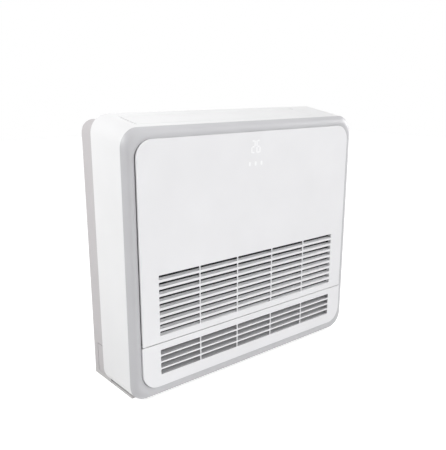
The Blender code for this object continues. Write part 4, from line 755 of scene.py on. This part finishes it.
def dress_panel(panel):
    """Everything that the panel's sheet carries, and its slots."""
    last_top = UPPER_TOP - (UPPER_ROWS - 1) * UPPER_PITCH
    foot = last_top - UPPER_TALL - UPPER_FOOT
    add_slot_block(panel, UPPER_TOP + UPPER_EDGE, foot, UPPER_EDGE, UPPER_DEPTH)
    hinge_parts = []
    for side in (-1, 1):
        for edge in (-1, 1):
            near = side * EAR_X + edge * (EAR_HALF + SEAT)
            start = (near, HINGE_Y, HINGE_Z)
            end = (near + edge * CHEEK_WALL, HINGE_Y, HINGE_Z)
            hinge_parts.append(rod("cheek", start, end, CHEEK_RADIUS, 40))
        pin_start = (side * EAR_X - PIN_HALF, HINGE_Y, HINGE_Z)
        pin_end = (side * EAR_X + PIN_HALF, HINGE_Y, HINGE_Z)
        hinge_parts.append(rod("pin", pin_start, pin_end, PIN_RADIUS, 24))
    for part in hinge_parts:
        weld(panel, part)
    for x in (-CATCH_X, CATCH_X):
        start = (x, FRONT_Y + PANEL_WALL / 2, CATCH_Z)
        weld(panel, rod("peg", start, (x, PEG_REAR, CATCH_Z), PEG_RADIUS, 24))
    cut_slots(panel, UPPER_ROWS, UPPER_PITCH, UPPER_TOP, UPPER_TALL, UPPER_RISE, UPPER_DEPTH)
    half = panel_high.x
    skirt = block("skirt", (-half, FRONT_Y, SEAM_TOP), (half, FRONT_Y + PANEL_WALL, HINGE_Z + WALL / 2))
    weld(panel, skirt)


dress_panel(panel)
soften(panel, 0.0005, 2)
wear(panel, panel_white)
instead_of(panel, "front_panel", "front_panel_body")

# %% [markdown]
# ## The lower grille panel
# The lower panel doesn't move. It is a shallow tray with large round corners at the bottom, and a
# deeper block behind its four rows of slots. Its top stays clear of the opening panel's curl, and
# only a thin lip at the front rises to the seam.

# %% Model the lower grille panel
LOWER_TOP = 0.1203
LOWER_PITCH = 0.0157
LOWER_ROWS = 4
LOWER_TALL = 0.0117
LOWER_RISE = 12
LOWER_DEPTH = 0.014
LOWER_SIDE = 0.006
LOWER_EDGE = 0.004
TRAY_RADIUS = 0.0392
TRAY_MIDDLE = 0.08
TRAY_TOP = 0.1345
LIP_TOP = 0.1366
LIP_WALL = 0.0012


def model_lower_panel():
    """The tray, its lip, its slot block and the slots."""
    low, high = grille_low, grille_high
    tray = block("lower_panel", (low.x, FRONT_Y, low.z), (high.x, high.y, TRAY_TOP))
    round_corners(tray, 1, TRAY_RADIUS, lambda place: place.z < TRAY_MIDDLE)
    hollow = block(
        "hollow",
        (low.x + WALL, FRONT_Y + PANEL_WALL, low.z + WALL),
        (high.x - WALL, high.y + WALL, TRAY_TOP - WALL),
    )
    round_corners(hollow, 1, TRAY_RADIUS - WALL, lambda place: place.z < TRAY_MIDDLE)
    carve(tray, hollow)
    weld(tray, block("lip", (low.x, FRONT_Y, TRAY_TOP - WALL), (high.x, FRONT_Y + LIP_WALL, LIP_TOP)))
    last_top = LOWER_TOP - (LOWER_ROWS - 1) * LOWER_PITCH
    foot = last_top - LOWER_TALL - LOWER_EDGE
    add_slot_block(tray, LOWER_TOP + LOWER_EDGE, foot, LOWER_SIDE, LOWER_DEPTH)
    cut_slots(tray, LOWER_ROWS, LOWER_PITCH, LOWER_TOP, LOWER_TALL, LOWER_RISE, LOWER_DEPTH)
    return tray


lower_panel = model_lower_panel()
soften(lower_panel, 0.0005, 2)
wear(lower_panel, panel_white)
instead_of(lower_panel, "lower_grille", "root")

# %% [markdown]
# The walls inside the lower slots are given painted shade: the air outlet behind them is dark and
# deep, and the shade that falls there is painted on them as a grey of its own. They are the faces
# behind the skin that don't face the front, and a second material slot holds this painted shade.

# %% Paint shade on the walls of the lower slots
SKIN_DEEP = 0.0007
SLOT_MARGIN = 0.001
NOT_FRONTAL = 0.6


def paint_shade_on_slot_walls(panel, paint, foot, top):
    """Paint shade on the walls inside a grille's slots, as a finish of their own."""
    panel.data.materials.append(paint)
    walls = 0
    for face in panel.data.polygons:
        middle = face.center
        inside = abs(middle.x) < GRILLE_HALF + SLOT_MARGIN and foot < middle.z < top
        if inside and middle.y > FRONT_Y + SKIN_DEEP and abs(face.normal.y) < NOT_FRONTAL:
            face.material_index = 1
            walls += 1
    print("slot walls:", walls)


# Painted shade on the walls inside the lower slots.
paint_shade_on_slot_walls(lower_panel, slot_painted_shade, LOWER_TOP - LOWER_ROWS * LOWER_PITCH, LOWER_TOP + LOWER_EDGE)

# %% [markdown]
# ## The display
# The digits shine through the panel's skin, so they are flat bars that lie in its surface. The
# number is a plain two-figure temperature, and three small lamps sit under it. Each figure is made
# of the seven bars of such a display, and only the lit ones are built. Text would be quicker, but
# its strokes wouldn't be separate bars.

# %% Build the lit figures
FIGURE_TALL = 0.030
FIGURE_WIDE = 0.0132
FIGURE_FOOT = 0.533
FIGURES_LEFT = -0.0178
FIGURES_APART = 0.0158
BAR = 0.0034
BAR_GAP = BAR * 0.35
BAR_RADIUS = BAR * 0.3
GLOW_DEPTH = 0.0006
LAMPS_X = (-0.0218, -0.0037, 0.0150)
LAMP_Z = 0.509
LAMP_HALF_WIDE = 0.0030
LAMP_HALF_TALL = 0.0050
LAMP_RADIUS = 0.0028
LIT = {2: "top right_high middle left_low foot", 6: "top left_high middle left_low right_low foot"}


def figure_bars(number, left):
    """The lit bars of one figure, from its left edge."""
    right = left + FIGURE_WIDE
    low = FIGURE_FOOT
    high = FIGURE_FOOT + FIGURE_TALL
    centre = (low + high) / 2
    places = {
        "top": (left + BAR, high - BAR, right - BAR, high),
        "middle": (left + BAR, centre - BAR / 2, right - BAR, centre + BAR / 2),
        "foot": (left + BAR, low, right - BAR, low + BAR),
        "left_high": (left, centre + BAR_GAP, left + BAR, high - BAR_GAP),
        "left_low": (left, low + BAR_GAP, left + BAR, centre - BAR_GAP),
        "right_high": (right - BAR, centre + BAR_GAP, right, high - BAR_GAP),
        "right_low": (right - BAR, low + BAR_GAP, right, centre - BAR_GAP),
    }
    bars = []
    for name in LIT[number].split():
        x0, z0, x1, z1 = places[name]
        bar = block("bar", (x0, CAD_FRONT, z0), (x1, CAD_FRONT + GLOW_DEPTH, z1))
        round_corners(bar, 1, BAR_RADIUS, lambda place: True, 3)
        bars.append(bar)
    return bars


def model_display():
    """The two figures and the three lamps under them, as one piece."""
    parts = figure_bars(2, FIGURES_LEFT) + figure_bars(6, FIGURES_LEFT + FIGURES_APART)
    for x in LAMPS_X:
        lamp = block(
            "lamp",
            (x - LAMP_HALF_WIDE, CAD_FRONT, LAMP_Z - LAMP_HALF_TALL),
            (x + LAMP_HALF_WIDE, CAD_FRONT + GLOW_DEPTH, LAMP_Z + LAMP_HALF_TALL),
        )
        round_corners(lamp, 1, LAMP_RADIUS, lambda place: True, 6)
        parts.append(lamp)
    glow = one_of(parts)
    glow.name = "display_figures"
    return glow


figures = model_display()
wear(figures, glow_white)
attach(figures, "front_panel_body")
print("figures:", len(figures.data.polygons), "faces")

# %% [markdown]
# ## The top flap
# The flap is a thin sheet that lies level with the sloping top. Its rear edge is spun down round
# the hinge, with a cheek and a pin at each end, and the whole is then tilted to the slope. These
# ends are joined to the curl and not welded, because a weld came out differently from run to run.

# %% Model the flap
FLAP_WALL = 0.0025
FLAP_ROLL = 0.0056
FLAP_ROLL_DEGREES = 105
FLAP_CORNER = 0.0015
FLAP_CHEEK = 0.003
CHEEK_EASE = 0.0002
FLAP_PIN_RADIUS = 0.0015
FLAP_PIN_INWARDS = 0.0015
FLAP_PIN_OUTWARDS = 0.0042
FLAP_AXIS_Y = FLAP_REAR - FLAP_ROLL
FLAP_TILT = math.atan(TOP_SLOPE)
FLAP_AXIS_Z = top_height(FLAP_AXIS_Y) - FLAP_ROLL / math.cos(FLAP_TILT)


def tilt_about(piece, y, z, angle):
    """Turn a piece about an axis that runs along X, and settle it there."""
    only(piece)
    there = Matrix.Translation((0.0, y, z))
    piece.matrix_world = there @ Matrix.Rotation(angle, 4, "X") @ there.inverted()
    settle()


def model_flap():
    """The sheet and its curl, a cheek and a pin at each end, all tilted to the slope."""
    length = (FLAP_AXIS_Y - FLAP_FRONT) / math.cos(FLAP_TILT) - FLAP_ROLL * math.tan(FLAP_TILT)
    crest = FLAP_AXIS_Z + FLAP_ROLL
    flap = block(
        "flap_door",
        (FLAP_LEFT, FLAP_AXIS_Y - length, crest - FLAP_WALL),
        (FLAP_RIGHT, FLAP_AXIS_Y, crest),
    )
    round_corners(flap, 2, FLAP_CORNER, lambda place: place.y < FLAP_AXIS_Y - 0.01, 5)
    pick(flap, "FACE", lambda face: face.normal.y > MOSTLY)
    bpy.ops.mesh.spin(
        steps=16,
        angle=math.radians(-FLAP_ROLL_DEGREES),
        center=(0.0, FLAP_AXIS_Y, FLAP_AXIS_Z),
        axis=(1.0, 0.0, 0.0),
    )
    leave()
    parts = [flap]
    for edge, inwards in ((FLAP_LEFT, 1), (FLAP_RIGHT, -1)):
        near = (edge + inwards * SEAT, FLAP_AXIS_Y, FLAP_AXIS_Z)
        far = (edge + inwards * FLAP_CHEEK, FLAP_AXIS_Y, FLAP_AXIS_Z)
        parts.append(rod("cheek", near, far, FLAP_ROLL - CHEEK_EASE, 40))
        start = (edge + inwards * FLAP_PIN_INWARDS, FLAP_AXIS_Y, FLAP_AXIS_Z)
        end = (edge - inwards * FLAP_PIN_OUTWARDS, FLAP_AXIS_Y, FLAP_AXIS_Z)
        parts.append(rod("pin", start, end, FLAP_PIN_RADIUS, 24))
    one_of(parts)
    tilt_about(flap, FLAP_AXIS_Y, FLAP_AXIS_Z, FLAP_TILT)
    return flap


flap = model_flap()
soften(flap, 0.0005, 2)
wear(flap, shell_white)
instead_of(flap, "top_flap", "flap")

# %% [markdown]
# ## The rear cover
# The cover behind the casing is narrower. It is one block with two round upper corners, hollowed
# from the front, cut away low on both sides for the pipe covers, and slotted for the wall hook.
# The cuts are a little larger than the pipe covers, so that their seam shows.

# %% Model the rear cover
BACK_CORNER = 0.0022
PIPE_GAP_REAR = 0.0893
PIPE_GAP_TOP = 0.0834
HOOK_HALF = 0.020
HOOK_FOOT = 0.560
HOOK_TOP = 0.572
HOOK_RADIUS = 0.003


def model_rear_cover():
    """The cover, its hollow, the gaps for the pipe covers and the hook's slot."""
    low, high = rear_low, rear_high
    cover = block("rear_cover", low, high)
    round_corners(cover, 1, REAR_RADIUS, lambda place: place.z > HALF_WAY_UP)
    round_corners(cover, 2, BACK_CORNER, lambda place: place.y > high.y - CLOSE, 4)
    hollow = block(
        "hollow",
        (low.x + WALL, low.y - WALL, low.z - WALL),
        (high.x - WALL, high.y - WALL, high.z - WALL),
    )
    round_corners(hollow, 1, REAR_RADIUS - WALL, lambda place: place.z > HALF_WAY_UP)
    carve(cover, hollow)
    for near, far in ((low.x - WALL, low.x + 2 * WALL), (high.x - 2 * WALL, high.x + WALL)):
        gap = block("gap", (near, low.y - WALL, low.z - WALL), (far, PIPE_GAP_REAR, PIPE_GAP_TOP))
        carve(cover, gap)
    hook_slot = block(
        "hook_slot",
        (-HOOK_HALF, high.y - 2 * WALL, HOOK_FOOT),
        (HOOK_HALF, high.y + WALL, HOOK_TOP),
    )
    round_corners(hook_slot, 1, HOOK_RADIUS, lambda place: True, 6)
    carve(cover, hook_slot)
    return cover


rear_cover = model_rear_cover()
soften(rear_cover, 0.0008, 3)
wear(rear_cover, rear_white)
instead_of(rear_cover, "rear_casing", "root")

# %% [markdown]
# ## The coil
# The coil is a pack of thin fins on rows of tubes. One fin is copied along the coil by an Array
# modifier, and so is one tube, up each of the two rows. There are hundreds of fins, so each is a
# plain strip: what makes a coil look real is their number and the light between them.

# %% Model the coil
FIN_PITCH = 0.0015
FIN_WALL = 0.00016
TUBE_ROWS = (0.28, 0.72)
TUBE_RADIUS = 0.0035
TUBE_PITCH = 0.0252
TUBE_COUNT = 13
TUBE_FOOT = 0.012
TUBE_SHORT = 0.0004


def repeat(piece, count, step):
    """Copy a piece in a row with an Array modifier, and apply it."""
    only(piece)
    row = piece.modifiers.new("row", "ARRAY")
    row.count = count
    row.use_relative_offset = False
    row.use_constant_offset = True
    row.constant_offset_displace = step
    bpy.ops.object.modifier_apply(modifier=row.name)
    return piece


def model_coil():
    """All the fins, and two rows of tubes through them."""
    low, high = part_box("evaporator_coil")
    count = int((high.x - low.x) / FIN_PITCH)
    fin = block("coil_fins", (low.x, low.y, low.z), (low.x + FIN_WALL, high.y, high.z))
    fins = repeat(fin, count, (FIN_PITCH, 0.0, 0.0))
    tubes = []
    depth = high.y - low.y
    for share in TUBE_ROWS:
        y = low.y + share * depth
        z = low.z + TUBE_FOOT
        tube = rod("tube", (low.x + TUBE_SHORT, y, z), (high.x - TUBE_SHORT, y, z), TUBE_RADIUS, 16)
        tubes.append(repeat(tube, TUBE_COUNT, (0.0, 0.0, TUBE_PITCH)))
    return one_of([fins] + tubes)


coil = model_coil()
wear(coil, fin_metal)
instead_of(coil, "evaporator_coil", "root")

# %% [markdown]
# ## The filter nets
# Each filter's net is woven from fine threads: one upright thread and one level thread, each
# repeated across the frame. A see-through material on a flat sheet would be lighter, but it would
# look like fog from close by.

# %% Weave the nets
NET_PITCH = 0.0012
THREAD_DEEP = 0.0004
THREAD_WIDE = 0.0005


def weave(node, body):
    """The net that stands for one filter's node."""
    low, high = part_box(node)
    rows = int((high.z - low.z) / NET_PITCH)
    columns = int((high.x - low.x) / NET_PITCH)
    centre = (low.y + high.y) / 2
    upright = block(
        node + "_weave", (low.x, centre - THREAD_DEEP, low.z), (low.x + THREAD_WIDE, centre, high.z)
    )
    level = block(
        "level", (low.x, centre, low.z), (high.x, centre + THREAD_DEEP, low.z + THREAD_WIDE)
    )
    repeat(upright, columns, (NET_PITCH, 0.0, 0.0))
    repeat(level, rows, (0.0, 0.0, NET_PITCH))
    net = one_of([upright, level])
    wear(net, net_black)
    instead_of(net, node, body)


weave("filter_left_net", "filter_left")
weave("filter_right_net", "filter_right")

# %% [markdown]
# ## Pieces with a finer edge
# Some pieces of the frame have the right shape and only need a softer edge. Each is copied, its
# loose faces are merged, and a narrow bevel goes round it. The fan wheel has so many edges that a
# bevel would cost more than it shows, so the wheel is only shaded smooth.

# %% Refine the smaller pieces
MERGE_BELOW = 0.00001
FLAT_BELOW = 1


def refined(node, name, body, material, width, sharp=38):
    """Put a copy of a frame piece in its place, with merged faces and a soft edge."""
    piece = bpy.data.objects.new(name, nodes[node].data.copy())
    bpy.context.scene.collection.objects.link(piece)
    pick(piece, "VERT", lambda vert: True)
    bpy.ops.mesh.remove_doubles(threshold=MERGE_BELOW)
    bpy.ops.mesh.dissolve_limited(angle_limit=math.radians(FLAT_BELOW))
    leave()
    if width:
        soften(piece, width, 2, sharp)
    else:
        only(piece)
        bpy.ops.object.shade_smooth_by_angle(angle=math.radians(sharp))
    wear(piece, material)
    instead_of(piece, node, body)


refined("pipe_cover_left", "side_cover_left", "root", rear_white, 0.0010)
refined("pipe_cover_right", "side_cover_right", "root", rear_white, 0.0010)
refined("base_plate", "foot_plate", "root", base_grey, 0.0006)
# The damper leaf carries painted shade in its near-black colour.
refined("outlet_damper", "damper_leaf", "damper", damper_painted_shade, 0.0005)
refined("fan_wheel", "fan_rotor", "fan", fan_grey, 0.0, 30)
refined("display_module", "display_case", "front_panel_body", motor_black, 0.0004)

# %% [markdown]
# ## Finishes for the rest of the frame
# Every other piece keeps its own shape and gets one of the finishes.

# %% Paint the frame's own pieces
FINISHES = {
    frame_grey: "inner_fascia catch_left catch_right filter_left_frame filter_right_frame button_switch",
    duct_grey: "drain_pan bell_mouth fan_chamber lower_duct top_outlet vane_link",
    ring_silver: "emergency_button",
    motor_black: "fan_motor damper_motor flap_motor vane_motor terminal_block",
    zinc_sheet: "coil_end_left coil_end_right motor_bracket control_box control_box_cover",
    pipe_copper: "gas_pipe liquid_pipe",
    nut_brass: "gas_flare_nut liquid_flare_nut",
    bright_steel: "motor_shaft fan_nut cover_screw_1 cover_screw_2",
    board_green: "circuit_board",
}
VANES = 8


def paint(node, material):
    """Give every face of a frame piece one finish."""
    for place in nodes[node].material_slots:
        place.material = material


for material, names in FINISHES.items():
    for node in names.split():
        paint(node, material)
for number in range(1, VANES + 1):
    paint(f"vane_{number}", duct_grey)
print("painted pieces:", sum(len(names.split()) for names in FINISHES.values()) + VANES)

# %% [markdown]
# ## The floor
# The unit stands on a white floor. Where a ray only looks, the floor glows, so that it shows as
# white and still takes a soft shadow. As a source of light its glow is weak and lies in front of
# the unit. A floor that shone as brightly as it looks would drown the underside and the lower
# slots in light.

# %% Lay the floor
FLOOR_SIZE = 12.0
FLOOR_LIFT = 0.62
FLOOR_BOUNCE = 0.10
BOUNCE_FROM = 0.2
BOUNCE_FULL = -0.5


def sees_camera(tree):
    """1 where a camera, glossy or transmission ray looks, and 0 where light falls."""
    light_path = node_at(tree, "ShaderNodeLightPath")
    first = node_at(tree, "ShaderNodeMath", operation="MAXIMUM")
    second = node_at(tree, "ShaderNodeMath", operation="MAXIMUM")
    tree.links.new(light_path.outputs["Is Camera Ray"], first.inputs[0])
    tree.links.new(light_path.outputs["Is Glossy Ray"], first.inputs[1])
    tree.links.new(first.outputs[0], second.inputs[0])
    tree.links.new(light_path.outputs["Is Transmission Ray"], second.inputs[1])
    return second.outputs[0]


def lay_floor():
    """A wide white plane that no body of the unit carries."""
    bpy.ops.object.select_all(action="DESELECT")
    bpy.ops.mesh.primitive_plane_add(size=FLOOR_SIZE, location=(0.0, 0.0, 0.0))
    floor = bpy.context.object
    floor.name = "floor"
    material = bpy.data.materials.new("floor_white")
    material.use_nodes = True
    tree = material.node_tree
    shader = tree.nodes["Principled BSDF"]
    place = node_at(tree, "ShaderNodeTexCoord").outputs["Object"]
    colour = ramp(tree, noise(tree, place, 3.0), (0.79, 0.79, 0.79), (0.81, 0.81, 0.81))
    tree.links.new(colour, shader.inputs["Base Color"])
    shader.inputs["Roughness"].default_value = 0.9
    shader.inputs["Specular IOR Level"].default_value = 0.0
    shader.inputs["Emission Color"].default_value = (1.0, 1.0, 1.0, 1.0)
    depth = node_at(tree, "ShaderNodeSeparateXYZ")
    tree.links.new(place, depth.inputs[0])
    bounce = node_at(tree, "ShaderNodeMapRange", interpolation_type="SMOOTHSTEP")
    bounce.inputs["From Min"].default_value = BOUNCE_FROM
    bounce.inputs["From Max"].default_value = BOUNCE_FULL
    bounce.inputs["To Max"].default_value = FLOOR_BOUNCE
    tree.links.new(depth.outputs["Y"], bounce.inputs["Value"])
    blend = node_at(tree, "ShaderNodeMix")
    blend.inputs["B"].default_value = FLOOR_LIFT
    tree.links.new(sees_camera(tree), blend.inputs["Factor"])
    tree.links.new(bounce.outputs[0], blend.inputs["A"])
    tree.links.new(blend.outputs[0], shader.inputs["Emission Strength"])
    floor.data.materials.append(material)
    print(floor.name, "is", FLOOR_SIZE, "m wide")


lay_floor()

# %% [markdown]
# ## The world and the lamps
# A dim world fills the shade evenly, though a ray that only looks sees it as white. The main light
# is a square lamp near the upper left: as it is near, it fades a little over the front. Four soft
# lamps far away fill in from the right, from above and from the front. One bright world would be
# simpler, but it would light every side alike, and the ring and the slots would look flat.

# %% Set the light
WORLD_LIGHT = 0.276
NEAR_LAMP_PLACE = (-1.70, 0.10, 1.60)
NEAR_LAMP_WAY = (1.50, -0.10, -1.20)
NEAR_LAMP_SIZE = 1.0
NEAR_LAMP_POWER = 21.0
FAR_LAMPS = {
    "lamp_right": ((1.0, -0.30, 0.18), 40, 1.74),
    "lamp_above": ((0.10, 0.0, 1.0), 60, 0.27),
    "lamp_front": ((0.35, -0.90, 0.30), 50, 0.86),
    "lamp_front_high": ((0.45, -0.55, 0.70), 50, 0.40),
}


def light_world():
    """An even world, dim as light and white to look at."""
    world = bpy.data.worlds.new("studio")
    bpy.context.scene.world = world
    world.use_nodes = True
    tree = world.node_tree
    soft = tree.nodes["Background"]
    soft.inputs["Color"].default_value = (1.0, 1.0, 1.0, 1.0)
    soft.inputs["Strength"].default_value = WORLD_LIGHT
    white = node_at(tree, "ShaderNodeBackground")
    white.inputs["Color"].default_value = (1.0, 1.0, 1.0, 1.0)
    white.inputs["Strength"].default_value = 1.0
    blend = node_at(tree, "ShaderNodeMixShader")
    tree.links.new(sees_camera(tree), blend.inputs["Fac"])
    tree.links.new(soft.outputs[0], blend.inputs[1])
    tree.links.new(white.outputs[0], blend.inputs[2])
    tree.links.new(blend.outputs[0], tree.nodes["World Output"].inputs["Surface"])


def hang_lamp(name, way, spread, power):
    """A soft lamp far away, which shines from the given direction."""
    bpy.ops.object.light_add(type="SUN", location=Vector(way) * 3.0)
    lamp = bpy.context.object
    lamp.name = name
    lamp.rotation_euler = (-Vector(way)).to_track_quat("-Z", "Y").to_euler()
    lamp.data.angle = math.radians(spread)
    lamp.data.energy = power


def place_near_lamp():
    """A square lamp near the upper left, which fades a little towards the floor and the right."""
    bpy.ops.object.light_add(type="AREA", location=NEAR_LAMP_PLACE)
    lamp = bpy.context.object
    lamp.name = "lamp_left"
    lamp.rotation_euler = Vector(NEAR_LAMP_WAY).to_track_quat("-Z", "Y").to_euler()
    lamp.data.size = NEAR_LAMP_SIZE
    lamp.data.energy = NEAR_LAMP_POWER
    lamp.visible_camera = False


light_world()
for name, (way, spread, power) in FAR_LAMPS.items():
    hang_lamp(name, way, spread, power)
place_near_lamp()
print("lamps in place:", len(FAR_LAMPS) + 1)
